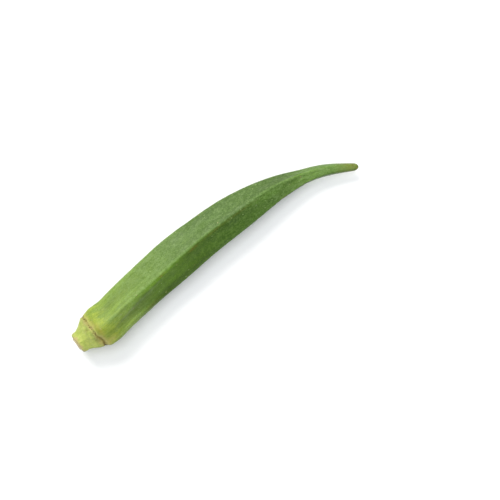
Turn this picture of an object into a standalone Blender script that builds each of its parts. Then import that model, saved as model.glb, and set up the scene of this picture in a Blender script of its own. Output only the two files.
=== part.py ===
"""Okra pod: one grown piece, lying on the face that it rests on.

The pod is a loft of five-ridged sections carried along a bent centre line. From the stem end it
has the cut stem, the angular cap, the scar that the calyx left, the shoulder, the ridged body and
a slim blunt tip. +X runs from the cut stem to the tip and +Z is up. The origin is on the surface
that the pod lies on, under the middle of its bounding box. Sizes are in metres.
"""

import bpy
import numpy as np

MM = 0.001

# The centre line from the cut stem to the tip: along, across and up, in millimetres
CENTRE_LINE = (
    (-62.3, -4.87, 7.40),
    (-56.3, -4.36, 7.27),
    (-53.3, -4.04, 7.21),
    (-49.3, -3.95, 7.15),
    (-39.2, -2.00, 7.00),
    (-24.2, 0.75, 7.00),
    (-5.5, 3.40, 6.90),
    (15.1, 4.80, 6.25),
    (35.8, 4.05, 5.35),
    (50.8, 0.65, 4.55),
    (62.9, -5.15, 3.88),
)

# Half the width seen from above, at distances from the cut along the centre line, in millimetres
HALF_WIDTHS = (
    (0.0, 3.95),
    (1.2, 4.15),
    (2.2, 4.25),
    (3.8, 4.88),
    (5.8, 6.13),
    (7.8, 6.90),
    (9.0, 7.20),
    (10.6, 7.95),
    (13.0, 8.10),
    (17.5, 7.85),
    (25.0, 7.95),
    (36.0, 8.05),
    (49.0, 8.30),
    (62.0, 7.80),
    (76.0, 7.25),
    (84.0, 6.45),
    (99.0, 4.10),
    (107.0, 2.80),
    (111.0, 2.52),
    (115.0, 2.27),
    (119.0, 1.98),
    (123.0, 1.70),
    (126.0, 1.45),
    (129.0, 1.22),
)

# How far the ridges have turned about the centre line, in degrees, at the same kind of distances
TWISTS = (
    (0.0, 2.0),
    (24.0, -3.0),
    (40.0, -8.5),
    (62.0, -3.5),
    (80.0, 2.0),
    (98.0, 15.0),
    (106.0, 20.0),
    (112.0, 25.0),
    (128.0, 34.0),
)

# How angular the section is: 2 is a circle and 10 is a pentagon with rounded corners
SHARPNESSES = (
    (0.0, 5.0),
    (5.0, 8.0),
    (8.5, 9.0),
    (13.0, 8.0),
    (25.0, 8.0),
    (45.0, 9.0),
    (70.0, 11.0),
    (90.0, 9.0),
    (104.0, 6.0),
    (128.0, 4.0),
)

FACES = 5
POINTS_A_FACE = 8
RIDGE_CROWDING = 0.55  # how much closer the points stand on a ridge than in the middle of a face

RIB_HEIGHT = 0.12 * MM  # the raised cord along each ridge
RIB_HALF_WIDTH = 0.80 * MM
RIB_STARTS = 9.5 * MM
RIB_FULL = 30.0 * MM
RIB_FADES = 100.0 * MM

HOLLOW_DEPTH = 0.16 * MM  # how far the middle of a face sinks

CUT_SLANT = 0.15  # the rise of the cut face towards +X, as a share of its height
CUT_DOME = 0.35 * MM
CUT_RIM = 0.60 * MM  # the rounding where the cut face meets the side of the stem
CUT_RINGS = 3
RIM_ROWS = 3

SCAR_AT = 8.3 * MM  # the calyx scar, a line round the pod between the cap and the shoulder
SCAR_DEPTH = 0.30 * MM
SCAR_HALF_WIDTH = 0.35 * MM
SCAR_WAVE = 0.05 * MM  # how far the scar swings towards the tip on each ridge
SCAR_TILT = 0.035  # how far the scar leans towards the tip on its -Y side, as a share of the width
SCAR_WAVE_REACH = 2.5 * MM

CAP_ROWS = 8
SHOULDER_ROWS = 9
BODY_ROWS = 34
SCAR_ROW_GAP = 0.32 * MM
SHOULDER_END = 16.0 * MM
TIP_ROUND = 1.8 * MM  # the length of the rounded end of the tip
TIP_ROWS = 6

CENTRE_SAMPLES = 2001

SKINS = {
    "cut_stem": ((0.55, 0.44, 0.22), 0.80),
    "cap_skin": ((0.48, 0.56, 0.16), 0.60),
    "calyx_scar": ((0.22, 0.16, 0.05), 0.85),
    "pod_skin": ((0.13, 0.25, 0.055), 0.55),
}


def smooth_curve(stations, values, at):
    """Reads a smooth curve at the given places: a cubic between each two stations, whose slope at
    a station is that of the parabola through it and the stations beside it."""
    slopes = np.gradient(values, stations)
    left = np.clip(np.searchsorted(stations, at) - 1, 0, len(stations) - 2)
    gap = stations[left + 1] - stations[left]
    share = (at - stations[left]) / gap
    square, cube = share**2, share**3
    return (
        (2 * cube - 3 * square + 1) * values[left]
        + (cube - 2 * square + share) * gap * slopes[left]
        + (3 * square - 2 * cube) * values[left + 1]
        + (cube - square) * gap * slopes[left + 1]
    )


def table_curve(table, at, unit=1.0):
    """Reads a table of distances in millimetres and values at distances in metres."""
    stations, values = np.array(table).T
    return smooth_curve(stations * MM, values * unit, at)


def ramp(start, end, at):
    """0 before start and 1 past end, rising smoothly in between."""
    share = np.clip((at - start) / (end - start), 0, 1)
    return share * share * (3 - 2 * share)


def centre_line():
    """Returns (distances, points) closely along the centre line."""
    along, across, up = np.array(CENTRE_LINE).T * MM
    x = np.linspace(along[0], along[-1], CENTRE_SAMPLES)
    points = np.column_stack((x, smooth_curve(along, across, x), smooth_curve(along, up, x)))
    steps = np.linalg.norm(np.diff(points, axis=0), axis=1)
    return np.concatenate(([0], np.cumsum(steps))), points


def row_distances(length):
    """Returns (distance from the cut, share of the full radius) of each row of points on the side.

    The rows start with the rounded rim of the cut and end with the rounded tip, both quarter
    turns, and stand closest about the calyx scar."""
    turn = np.linspace(0, np.pi / 2, RIM_ROWS + 1)[:-1]
    rim = CUT_RIM * (1 - np.cos(turn))
    rim_share = 1 - CUT_RIM / (HALF_WIDTHS[0][1] * MM) * (1 - np.sin(turn))
    scar = SCAR_AT + SCAR_ROW_GAP * np.arange(-2, 3)
    cap = np.linspace(CUT_RIM, scar[0], CAP_ROWS, endpoint=False)
    shoulder = np.linspace(scar[-1], SHOULDER_END, SHOULDER_ROWS, endpoint=False)[1:]
    body = np.linspace(SHOULDER_END, length - TIP_ROUND, BODY_ROWS)
    turn = np.linspace(0, np.pi / 2, TIP_ROWS + 1)[1:-1]
    tip = length - TIP_ROUND * (1 - np.sin(turn))
    side = np.concatenate((cap, scar, shoulder, body))
    distances = np.concatenate((rim, side, tip))
    shares = np.concatenate((rim_share, np.ones(len(side)), np.cos(turn)))
    return distances, shares


def angles_from_ridge():
    """The angles of a section's points about the centre line, counted from its first ridge. The
    points crowd towards each ridge."""
    count = FACES * POINTS_A_FACE
    turns = np.arange(count) / count
    crowding = RIDGE_CROWDING * np.sin(2 * np.pi * FACES * turns) / (2 * np.pi * FACES)
    return 2 * np.pi * (turns - crowding)


def section_radii(angles, distances, half_widths):
    """The radius at each angle in each row: a pentagon with rounded corners, the point where the
    shares of its distance towards the five faces, each to the power of the sharpness, add up to
    one. The rib on each ridge and the hollow of each face are added to it."""
    sharpness = table_curve(SHARPNESSES, distances)[:, None]
    face_normals = 2 * np.pi * (np.arange(FACES) + 0.5) / FACES
    towards = np.clip(np.cos(angles[:, None] - face_normals), 0, None)
    unit = np.stack([(towards**power).sum(1) ** (-1 / power) for power in sharpness[:, 0]])
    radii = half_widths[:, None] * unit
    from_ridge = (angles * FACES / (2 * np.pi) + 0.5) % 1 - 0.5
    arc = from_ridge * 2 * np.pi / FACES * radii
    strength = ramp(RIB_STARTS, RIB_FULL, distances) * (1 - ramp(RIB_FADES, distances[-1], distances))
    rib = RIB_HEIGHT * np.exp(-((arc / RIB_HALF_WIDTH) ** 2))
    hollow = HOLLOW_DEPTH * np.sin(np.pi * from_ridge) ** 2
    return radii + strength[:, None] * (rib - hollow)


def side_rows(line_distances, line_points, distances, shares):
    """Points of the pod's side, by row and angle. Each section stands square to the centre line
    and is scaled and shifted sideways so that its width seen from above is the pod's, less the
    groove of the scar."""
    angles = angles_from_ridge()
    groove = SCAR_DEPTH * np.exp(-(((distances - SCAR_AT) / SCAR_HALF_WIDTH) ** 2))
    half_widths = table_curve(HALF_WIDTHS, distances, MM) - groove
    radii = section_radii(angles, distances, half_widths)
    turned = angles + np.radians(table_curve(TWISTS, distances))[:, None]
    across = radii * np.sin(turned)
    up = radii * np.cos(turned)
    scale = half_widths / ((across.max(1) - across.min(1)) / 2) * shares
    middle = (across.max(1) + across.min(1)) / 2
    across = (across - middle[:, None]) * scale[:, None]
    up = up * scale[:, None]
    near_scar = np.exp(-(((distances - SCAR_AT) / SCAR_WAVE_REACH) ** 2))[:, None]
    wave = near_scar * (SCAR_WAVE * np.cos(FACES * angles) - SCAR_TILT * across)
    slant = CUT_SLANT * (1 - ramp(0, SCAR_AT, distances))[:, None] * up
    return place(line_distances, line_points, distances, across, up, wave + slant)


def place(line_distances, line_points, distances, across, up, forward):
    """Turns (across, up, forward) about the centre line at each distance into points."""
    centre = np.column_stack([np.interp(distances, line_distances, axis) for axis in line_points.T])
    headings = np.gradient(line_points, line_distances, axis=0)
    ahead = np.column_stack([np.interp(distances, line_distances, axis) for axis in headings.T])
    ahead /= np.linalg.norm(ahead, axis=1, keepdims=True)
    sideways = np.cross((0, 0, 1), ahead)
    sideways /= np.linalg.norm(sideways, axis=1, keepdims=True)
    upwards = np.cross(ahead, sideways)
    return (
        centre[:, None]
        + across[..., None] * sideways[:, None]
        + up[..., None] * upwards[:, None]
        + forward[..., None] * ahead[:, None]
    )


def cut_rows(rim_row, ahead):
    """The rings of the cut face, from the one nearest its middle out to the rim. Each is the rim
    drawn in towards the middle, and the face bulges outwards by the dome."""
    middle = rim_row.mean(0)
    shares = np.arange(1, CUT_RINGS + 1) / (CUT_RINGS + 1)
    bulge = CUT_DOME * (1 - shares**2)
    rings = middle + shares[:, None, None] * (rim_row - middle) - bulge[:, None, None] * ahead
    return middle - CUT_DOME * ahead, rings


def pod_rows():
    """Returns the pole of the cut, the rows of points from the cut to the tip, the pole of the
    tip, and each row's distance from the cut, which is below zero on the cut face."""
    line_distances, line_points = centre_line()
    length = line_distances[-1]
    distances, shares = row_distances(length)
    side = side_rows(line_distances, line_points, distances, shares)
    ahead = (line_points[1] - line_points[0]) / line_distances[1]
    cut_pole, rings = cut_rows(side[0], ahead)
    rows = np.concatenate((rings, side))
    row_distance = np.concatenate((np.full(len(rings), -1.0), distances))
    return cut_pole, rows, line_points[-1], row_distance


def skin_of(distance):
    """The name of the skin on a face whose first row is at this distance."""
    if distance < 0:
        return "cut_stem"
    if distance < SCAR_AT - 1.5 * SCAR_ROW_GAP:
        return "cap_skin"
    if distance < SCAR_AT + 1.5 * SCAR_ROW_GAP:
        return "calyx_scar"
    return "pod_skin"


def pod_mesh(name):
    """Builds the closed mesh: the rows joined by four-sided faces, with a fan of triangles at each
    end. The points below the surface are raised to it, which makes the flat spot underneath."""
    cut_pole, rows, tip_pole, row_distance = pod_rows()
    row_count, around = rows.shape[:2]
    points = np.concatenate((rows.reshape(-1, 3), (cut_pole, tip_pole)))
    points[:, 2] = np.maximum(points[:, 2], 0)
    first, second = len(points) - 2, len(points) - 1
    faces = []
    skins = []
    for column in range(around):
        beside = (column + 1) % around
        faces.append((first, column, beside))
        skins.append("cut_stem")
        for row in range(row_count - 1):
            here, ahead = row * around, (row + 1) * around
            faces.append((here + column, ahead + column, ahead + beside, here + beside))
            skins.append(skin_of(row_distance[row]))
        last = (row_count - 1) * around
        faces.append((last + column, second, last + beside))
        skins.append("pod_skin")
    mesh = bpy.data.meshes.new(name)
    mesh.from_pydata(points.tolist(), [], faces)
    slots = list(SKINS)
    mesh.polygons.foreach_set("material_index", [slots.index(skin) for skin in skins])
    mesh.shade_smooth()
    return mesh


def skin_material(name, colour, roughness):
    """A plain Principled material."""
    material = bpy.data.materials.new(name)
    material.use_nodes = True
    shader = material.node_tree.nodes["Principled BSDF"]
    shader.inputs["Base Color"].default_value = (*colour, 1)
    shader.inputs["Roughness"].default_value = roughness
    shader.inputs["Metallic"].default_value = 0
    material.diffuse_color = (*colour, 1)
    return material


def clear_scene():
    """Removes every object of the scene."""
    for found in list(bpy.data.objects):
        bpy.data.objects.remove(found, do_unlink=True)


def build():
    """Makes the pod in a collection of its own."""
    clear_scene()
    collection = bpy.data.collections.new("Okra pod")
    bpy.context.scene.collection.children.link(collection)
    mesh = pod_mesh("okra_pod")
    for name, (colour, roughness) in SKINS.items():
        mesh.materials.append(skin_material(name, colour, roughness))
    collection.objects.link(bpy.data.objects.new("okra_pod", mesh))


build()
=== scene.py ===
"""Okra pod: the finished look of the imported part.

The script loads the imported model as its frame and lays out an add-on round it: settings for the
sizes and colours, one operator for each piece and for the stage, and a panel that lists them.

The pod is one fine closed surface, worked out from the same curves as the part: five-ridged
sections carried along a bent centre line. Fine relief is added to it, which is the broad base of
each ridge, the ring of the calyx scar, the wrinkles of the cap and the worn face of the cut. The
down, the scraps of dried calyx, the stubs of fibre and the corky specks are pieces of their own.
Sizes in the tables are in millimetres, and every mesh is in metres.
"""

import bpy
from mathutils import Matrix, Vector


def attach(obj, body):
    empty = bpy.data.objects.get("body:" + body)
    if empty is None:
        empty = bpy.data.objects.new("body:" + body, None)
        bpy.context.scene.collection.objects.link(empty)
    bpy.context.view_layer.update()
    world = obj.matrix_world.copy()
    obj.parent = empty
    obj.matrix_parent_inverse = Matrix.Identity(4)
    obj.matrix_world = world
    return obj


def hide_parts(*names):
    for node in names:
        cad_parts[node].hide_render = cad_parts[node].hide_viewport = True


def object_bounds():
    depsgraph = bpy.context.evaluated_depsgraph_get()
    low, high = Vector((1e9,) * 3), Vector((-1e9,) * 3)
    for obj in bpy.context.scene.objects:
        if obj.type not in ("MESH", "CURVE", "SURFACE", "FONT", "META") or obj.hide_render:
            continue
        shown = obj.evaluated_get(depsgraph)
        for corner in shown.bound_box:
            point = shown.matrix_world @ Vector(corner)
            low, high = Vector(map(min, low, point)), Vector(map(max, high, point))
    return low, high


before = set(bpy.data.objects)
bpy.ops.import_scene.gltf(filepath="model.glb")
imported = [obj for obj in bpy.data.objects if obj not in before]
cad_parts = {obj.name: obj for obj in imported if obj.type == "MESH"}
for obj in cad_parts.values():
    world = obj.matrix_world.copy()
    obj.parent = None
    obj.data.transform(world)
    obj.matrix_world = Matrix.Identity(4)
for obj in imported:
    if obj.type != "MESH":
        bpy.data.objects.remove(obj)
cad_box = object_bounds()

from types import SimpleNamespace

import bpy
import numpy as np
from bpy.props import FloatProperty, FloatVectorProperty, IntProperty, PointerProperty

bl_info = {
    "name": "Okra pod",
    "version": (1, 0, 0),
    "blender": (4, 5, 0),
    "location": "3D View > Sidebar > Okra",
    "description": "Makes a five-ridged okra pod with its down, calyx scar and cut stem",
    "category": "Add Mesh",
}

MM = 0.001

# The centre line from the cut stem to the tip: along, across and up
CENTRE_LINE = (
    (-62.3, -4.87, 7.4), (-56.3, -4.36, 7.27), (-53.3, -4.04, 7.21), (-49.3, -3.95, 7.15),
    (-39.2, -2, 7), (-24.2, 0.75, 7), (-5.5, 3.4, 6.9), (15.1, 4.8, 6.25), (35.8, 4.05, 5.35),
    (50.8, 0.65, 4.55), (62.9, -5.15, 3.88),
)

# Half the width seen from above, at distances from the cut along the centre line
HALF_WIDTHS = (
    (0, 3.95), (1.2, 4.15), (2.2, 4.25), (3.8, 4.88), (5.8, 6.13), (7.8, 6.9), (9, 7.2),
    (10.6, 7.95), (13, 8.1), (17.5, 7.85), (25, 7.95), (36, 8.05), (49, 8.3), (62, 7.8), (76, 7.25),
    (84, 6.45), (99, 4.1), (107, 2.8), (111, 2.52), (115, 2.27), (119, 1.98), (123, 1.7),
    (126, 1.45), (129, 1.22),
)

# How far the ridges have turned about the centre line, in degrees, at the same kind of distances
TWISTS = (
    (0, 2), (24, -3), (40, -8.5), (62, -3.5), (80, 2), (98, 15), (106, 20), (112, 25), (128, 34),
)

# How angular the section is: 2 is a circle and 10 is a pentagon with rounded corners
SHARPNESSES = (
    (0, 5), (5, 8), (8.5, 9), (13, 8), (25, 8), (45, 9), (70, 11), (90, 9), (104, 6), (128, 4),
)

# How far the broad base of a ridge reaches down the face on its clockwise side
BASE_HALF_WIDTHS = (
    (0, 5.6), (13, 5.3), (18, 4.1), (22, 3.7), (29, 3), (33, 2.8), (38.7, 2.1), (42.5, 1.45),
    (50, 1.1), (128, 1),
)
BASE_OTHER_SIDE = 0.66  # its reach on the other side, as a share of that
BASE_EDGE = 1.1 * MM  # the width of the slope at the edge of the base

# How far the face lies below the base of the ridge
VALLEY_DEPTHS = (
    (0, 0), (13, 0), (17, 0.2), (20, 0.32), (30, 0.34), (38, 0.26), (46, 0.14), (60, 0.06),
    (90, 0.02), (128, 0),
)

# Painted shade: how light or dark each face is painted along the pod, as a factor for how the light
# falls on it: from the distance, then the faces in the order they are met going round from the
# upper ridge towards the outer side of the curve
FACE_SHADES = (
    (0, 0.95, 1, 1, 1.05, 1.25), (9, 1.01, 1.02, 1, 1.05, 1.24), (18, 1.02, 1, 1, 1.05, 1.24),
    (28, 1.01, 0.95, 0.95, 0.95, 0.96), (42, 1.01, 0.95, 0.9, 0.88, 1.03),
    (56, 0.92, 0.96, 0.9, 0.9, 0.9), (68, 0.94, 0.96, 0.9, 0.9, 1.01),
    (78, 0.92, 0.94, 0.92, 0.9, 1.03), (90, 0.86, 0.9, 0.95, 0.8, 1.06),
    (99, 0.71, 0.88, 0.95, 0.72, 0.99), (109, 0.87, 0.92, 0.95, 0.95, 1.12),
    (118, 0.94, 1, 1, 1, 1.1), (128, 0.9, 0.95, 0.95, 0.95, 0.92),
)

# How the painted shade tints the visible lower face against the others, as factors for red, green
# and blue
LOWER_SHADE_TINTS = (
    (0, 1, 1, 1), (24, 1, 1, 1), (38, 0.86, 0.99, 0.45), (56, 0.86, 0.99, 0.42), (68, 0.9, 1, 0.62),
    (80, 0.93, 1, 0.8), (98, 1, 1, 1.05), (128, 1, 1, 1),
)

# The light that falls past a ridge onto its base on the clockwise side: distance, strength,
# how far down the face its middle is, and its half width
BASE_LIGHTS = (
    (0, 0, 2.6, 1.4), (11, 0.02, 2, 1.2), (14, 0.08, 2.7, 1), (18, 0.17, 2.6, 0.9),
    (22, 0.25, 2.4, 1), (25, 0.48, 1.7, 1.2), (29, 0.5, 1.1, 0.9), (34.5, 0.46, 0.9, 0.7),
    (40, 0.3, 0.95, 0.6), (46, 0.2, 0.95, 0.6), (52, 0.05, 1, 0.7), (60, 0, 1.4, 0.9),
    (84, 0.05, 1.9, 1.3), (91, 0.4, 2, 1.4), (98, 0.1, 1.8, 1.2), (104, 0, 1.6, 1),
    (128, 0, 1.4, 1),
)

BASE_SHARE = 0.15  # how much of that light the other ridges have

# The painted light on a cord on each face past a ridge: distance, strength, how far from the crest,
# half width
CORD_LIGHTS = (
    (0, 0, 1.2, 1.2), (10, 0, 1.2, 1.2), (14, 0.03, 1.4, 1), (17, 0.16, 1.7, 0.8),
    (20, 0.22, 2, 0.7), (24, 0.16, 2.1, 0.6), (30, 0.11, 2.1, 0.6), (42, 0.05, 2, 0.6),
    (52, 0, 2, 0.6), (128, 0, 1.4, 0.6),
)

# The painted highlight along each ridge: distance and strength
CREST_LIGHTS = (
    (0, 0.02), (12, 0.02), (16, 0.08), (20, 0.18), (34, 0.16), (42, 0.18), (56, 0.18), (62, 0.15),
    (70, 0.05), (82, 0), (89, 0.19), (94, 0.28), (99, 0.38), (107, 0.34), (113, 0.14), (119, 0),
    (128, 0),
)

# The line of painted light and shade along the middle of each face, lighter where the strength is
# above nothing and darker where it is below: distance, strength, and its half width as a share of
# the face
MIDDLE_LIGHTS = (
    (0, 0, 0.1), (14, -0.04, 0.12), (19, -0.1, 0.13), (25, -0.08, 0.12), (36, -0.03, 0.1),
    (46, 0.05, 0.12), (54, 0.09, 0.13), (66, 0.07, 0.13), (80, 0, 0.12), (98, 0.04, 0.08),
    (106, 0.22, 0.09), (112, 0.2, 0.12), (118, 0, 0.14), (128, 0, 0.14),
)

# How much the painted shade darkens the lower edge of the visible lower face, by the distance
EDGE_SHADES = (
    (0, 0), (28, 0), (34, 0.25), (39, 0.42), (43, 0.38), (48, 0.24), (54, 0.12), (62, 0), (128, 0),
)
EDGE_REACH = (0.70, 0.84)  # where that shade starts and is full, as shares of the half width

# How much the painted light lightens the far edge of the visible upper face, by the distance
RIM_LIGHTS = (
    (0, 0), (8.8, 0), (11, 0.12), (14, 0.17), (18, 0.15), (24, 0.06), (32, 0.03), (60, 0), (128, 0),
)
RIM_REACH = (0.50, 0.80)
# The painted highlight along each ridge: how far beyond the crest it lies, its half width, and how
# wide it is along the pod
CREST_OFFSET = 0.25 * MM  # how far the lighter line along a ridge lies beyond the crest
CREST_HALF_WIDTH = 0.48 * MM
LINE_WIDTHS = ((0.0, 1.0), (80.0, 1.0), (98.0, 0.7), (128.0, 0.5))  # how wide it is, as a factor
SHADE_EDGE = 0.9 * MM  # half the width over which two faces' shades meet at a ridge

FACES = 5
RIDGE_CROWDING = 0.55

RIB_HEIGHT = 0.12 * MM
RIB_HALF_WIDTH = 0.80 * MM
RIB_STARTS = 9.5 * MM
RIB_FULL = 30.0 * MM
RIB_FADES = 100.0 * MM

HOLLOW_DEPTH = 0.16 * MM

CUT_SLANT = 0.15
CUT_DOME = 0.35 * MM
CUT_RIM = 0.60 * MM

SCAR_AT = 8.3 * MM
SCAR_DEPTH = 0.30 * MM
SCAR_HALF_WIDTH = 0.35 * MM
SCAR_WAVE = 0.05 * MM
SCAR_TILT = 0.035
SCAR_WAVE_REACH = 2.5 * MM
MARK_KINDS = ("olive", "green", "brown", "pink", "tan", "straw")
SCAR_ZONE = (7.4 * MM, 9.2 * MM)  # the stretch that wears the scar's finish

SHOULDER_END = 16.0 * MM
TIP_ROUND = 1.8 * MM
CENTRE_SAMPLES = 2001

# Brown scuffs: distance from the cut, ridge, offset from its crest, half length, half width and
# strength
SCUFFS = (
    (56.6, 0, -0.9, 1.9, 0.45, 1), (41.5, 0, -0.5, 1.6, 0.4, 0.6), (39.6, 4, -1.2, 0.9, 0.35, 0.7),
    (27, 3, 0.2, 1.6, 0.45, 0.9), (72, 2, 0.4, 2.2, 0.4, 0.8), (88, 1, 0.1, 1.4, 0.35, 0.7),
    (60, 3, -0.3, 2.4, 0.5, 0.8), (33, 1, 0.3, 1.3, 0.35, 0.5), (96, 4, 0, 1.2, 0.35, 0.6),
    (66, 0, -0.7, 5, 0.4, 0.35), (78, 0, -0.7, 7, 0.4, 0.28), (62, 2, -0.6, 6, 0.4, 0.3),
)

# How dark the scar is round the pod: degrees from the top towards the outer side of the curve
SCAR_WEARS = (
    (-180, 0.7), (-120, 0.85), (-75, 1.12), (-30, 1.12), (-13, 0.5), (-3, 0.28), (18, 0.18),
    (27, 0.46), (48, 0.8), (62, 0.4), (90, 0.8), (135, 0.45), (180, 0.7),
)

# Where the groove fills when it is little worn, and how far round that reaches, in degrees as above
SCAR_FILLS_AT = 12.0
SCAR_FILLS_WITHIN = 36.0

# How far the scar bends towards the tip round the pod: degrees as above and millimetres
SCAR_BENDS = (
    (-180, 0.1), (-135, -0.18), (-95, 0.05), (-68, -0.22), (-54, 0.12), (-44, 0.34), (-32, 0.34),
    (-21, -0.16), (-8, -0.08), (6, 0.06), (24, -0.06), (45, 0.08), (80, -0.12), (120, 0.2),
    (150, -0.15), (180, 0.1),
)

# Marks on the skin beside the scar: distance from the cut, degrees from the top towards the outer
# side of the curve, half length, half width, strength and kind
MARKS = (
    (0.5, 24, 0.7, 1.3, 0.8, "straw"), (1.7, 4, 1.4, 1.7, 0.13, "green"),
    (0.7, -62, 0.7, 1, 0.6, "straw"), (0.8, 150, 0.8, 1.4, 0.7, "straw"),
    (6.3, 17, 0.9, 0.8, 0.65, "brown"), (7.4, 44, 0.9, 1.1, 0.6, "pink"),
    (7.2, -36, 0.8, 1.2, 0.9, "brown"), (7.3, -52, 0.8, 1.5, 0.9, "tan"),
    (9.9, -36, 0.8, 1.6, 0.9, "tan"), (10.3, -60, 1.1, 1.4, 1, "tan"),
    (10.7, -14, 1, 1.9, 0.9, "olive"), (13.6, -31, 1.5, 1, 0.8, "green"),
    (19.2, -25, 0.9, 0.5, 0.8, "green"), (12, -54, 1.9, 1.4, 0.55, "tan"),
    (8.6, -40, 0.5, 0.9, 0.9, "brown"), (9.2, -64, 0.6, 1.3, 0.9, "brown"),
    (8, 32, 0.5, 0.9, 0.6, "brown"), (8.7, 11, 1.2, 0.8, 0.7, "pink"),
    (9.6, 25, 0.7, 1.6, 0.5, "tan"), (10.5, 5, 1.1, 1.5, 0.42, "tan"),
    (31, -68, 3, 0.5, 0.5, "brown"), (120.4, 62, 1, 0.5, 0.3, "brown"),
    (122.6, 50, 0.6, 0.5, 0.4, "brown"), (124.4, -64, 0.9, 0.5, 0.35, "brown"),
    (125.6, 20, 0.5, 0.8, 0.45, "brown"), (7, 110, 1, 1.2, 0.7, "olive"),
    (9.4, 150, 0.9, 1.6, 0.8, "brown"), (12.5, 95, 1.4, 1.6, 0.7, "olive"),
    (8.4, -110, 0.9, 1.5, 0.8, "brown"), (13, -150, 1.8, 1.4, 0.7, "olive"),
    (11, -178, 1.2, 1, 0.6, "brown"),
)

VIEW_CENTRE = (11.36 * MM, -9.83 * MM, 8.0 * MM)  # the point in the middle of the picture
VIEW_TURN = -32.4  # degrees that the picture is turned about +Z
VIEW_WIDTH = 187.5 * MM
LENS = 100.0
SENSOR = 36.0

TURN = 2 * np.pi
VECTOR = ("FLOAT_VECTOR", "vector")  # how the mesh stores a vector a point
BOX_LOW, BOX_HIGH = np.array(cad_box[0]), np.array(cad_box[1])

# Random waves of the relief: seed, shortest and longest length along the pod in millimetres, most
# waves round it, and how many are added up
WAVES = {
    "swelling": (11, 5.0, 14.0, 9, 24),
    "dimples": (12, 1.6, 4.0, 24, 40),
    "cords": (13, 18.0, 60.0, 40, 40),
    "wrinkles": (21, 5.0, 16.0, 26, 30),
    "knobs": (22, 1.2, 3.0, 14, 30),
    "groove depth": (31, 1.0, 2.0, 13, 24),
    "groove width": (32, 1.0, 2.0, 9, 24),
    "chips": (33, 0.5, 1.4, 30, 40),
    "wobble": (41, 1.0, 2.0, 11, 24),
    "cut grain": (51, 0.7, 2.4, 16, 40),
}
SEEDS = {"pod_down": 61, "cap_down": 62, "calyx_scraps": 71, "cut_fibres": 81, "corky_specks": 91}

# Where the skin's relief starts and fades along the pod, and the widths of its lines as shares of
# a face
BODY_STARTS, BODY_FADES = (10 * MM, 20 * MM), (104 * MM, 124 * MM)
SEAM_FADES, SEAM_WIDTH = (34 * MM, 44 * MM), 0.05
VEIN_STARTS, VEIN_FADES, VEIN_WIDTH = (98 * MM, 106 * MM), (118 * MM, 126 * MM), 0.10
CREST_SMOOTHER, CREST_SMOOTH_WIDTH = 0.7, 0.6 * MM  # how much less relief a crest has
SCAR_ROWS_END = SCAR_ZONE[1] + 0.6 * MM  # how far the close rows of the scar reach
CAP_STARTS, CAP_FADES_WITHIN = (0.3 * MM, 1.5 * MM), 0.9 * MM
KNOB_SHARE = 0.6

# The scar's unevenness, and its lips: place beside the line, half width, height and the share of it
# that is there between the ridges
GROOVE_DEPTH_VARIES, GROOVE_DEPTH_LIMITS, GROOVE_WIDTH_VARIES = 0.45, (0.25, 2), 0.22
CHIPS_REACH, SCAR_WOBBLE = 1.1 * MM, 0.07 * MM
LIPS = ((0.75 * MM, 0.38 * MM, 1.0, 0.3), (-0.75 * MM, 0.35 * MM, 0.8, 0.4))

# The face of the cut, by the share of the way from its middle to its rim: the edge of the pith,
# then middle, half width and depth or height of the groove and of the ring of bundles
PITH_EDGE = (0.38, 0.56)
RIND_GROOVE = (0.86, 0.05, 0.10 * MM)
BUNDLE_RING = (0.66, 0.09, 0.09 * MM)
CUT_GRAIN, CUT_GRAIN_SPAN, CUT_GRAIN_FADES, CUT_DEEPEST = 0.03 * MM, 4, (1.0, 0.9), 0.5 * MM

# Where the painted highlight on the crests starts, in metres; then, in millimetres, where their
# pale line, which also stands as a painted highlight, starts and fades, by how much it fades, and a
# distance that is out of the scar's reach
CREST_STARTS = (9 * MM, 18 * MM)
CREST_PALES, CREST_FADES, CREST_FADES_BY, FAR_FROM_SCAR = (9, 16), (96, 112), 0.75, 100.0

# A hair, by shares of its length and thickness: how deep it is rooted, its knee, what is left past
# the knee, and how thick the knee is. Its points are a ring at the root, one at the knee and the
# tip
HAIR_ROOTING, HAIR_KNEE, HAIR_REST, HAIR_KNEE_THICK = 0.12, 0.55, 0.45, 0.6
HAIR_CORNERS = np.array(
    ((0, 2, 1), (0, 1, 4), (0, 4, 3), (1, 2, 5), (1, 5, 4), (2, 0, 3), (2, 3, 5))
    + ((3, 4, 6), (4, 5, 6), (5, 3, 6))
)
HAIR_HEIGHTS = np.array((0, 0, 0, HAIR_KNEE, HAIR_KNEE, HAIR_KNEE, 1.0))
HAIR_CLEAR, PIECE_CLEAR = 0.03 * MM, 0.05 * MM  # how far hairs and other pieces stay off the floor

# The down: where it starts on the pod, where it starts and ends on the cap, the half width of its
# thicker growth along a ridge, and how long it is on the cap, as a factor
DOWN_STARTS, DOWN_RIDGE = (9.6 * MM, 14 * MM), 0.7 * MM
CAP_DOWN_STARTS, CAP_DOWN_ENDS, CAP_DOWN_LENGTH = (0.6 * MM, 1.4 * MM), (9 * MM, 10.5 * MM), 0.8
# How hairs vary: factors of length and radius, lean and bend in degrees, spread of turn in radians
HAIR_LENGTHS, HAIR_RADII, HAIR_LEANS, HAIR_BENDS = (0.6, 1.25), (0.75, 1.2), (18, 62), (5, 40)
HAIR_TURNS = 1.1

# The scraps: how far past the scar's line they sit and within what, how thick they grow between
# the ridges, to which a ridge adds one, how they vary, like hairs, and how deep and far back they
# are rooted
SCRAPS_PAST_SCAR, SCRAPS_WITHIN, SCRAPS_LEAST, SCRAP_TURNS = 0.05 * MM, 0.22 * MM, 0.25, 0.9
SCRAP_LENGTHS, SCRAP_WIDTHS, SCRAP_CURLS = (0.5, 1.3), (0.35, 0.9), (10, 70)
SCRAP_ROOTING, SCRAP_BACK = 0.12 * MM, 0.15
SCRAP_STEPS, SCRAP_ACROSS = 6, 4

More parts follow.
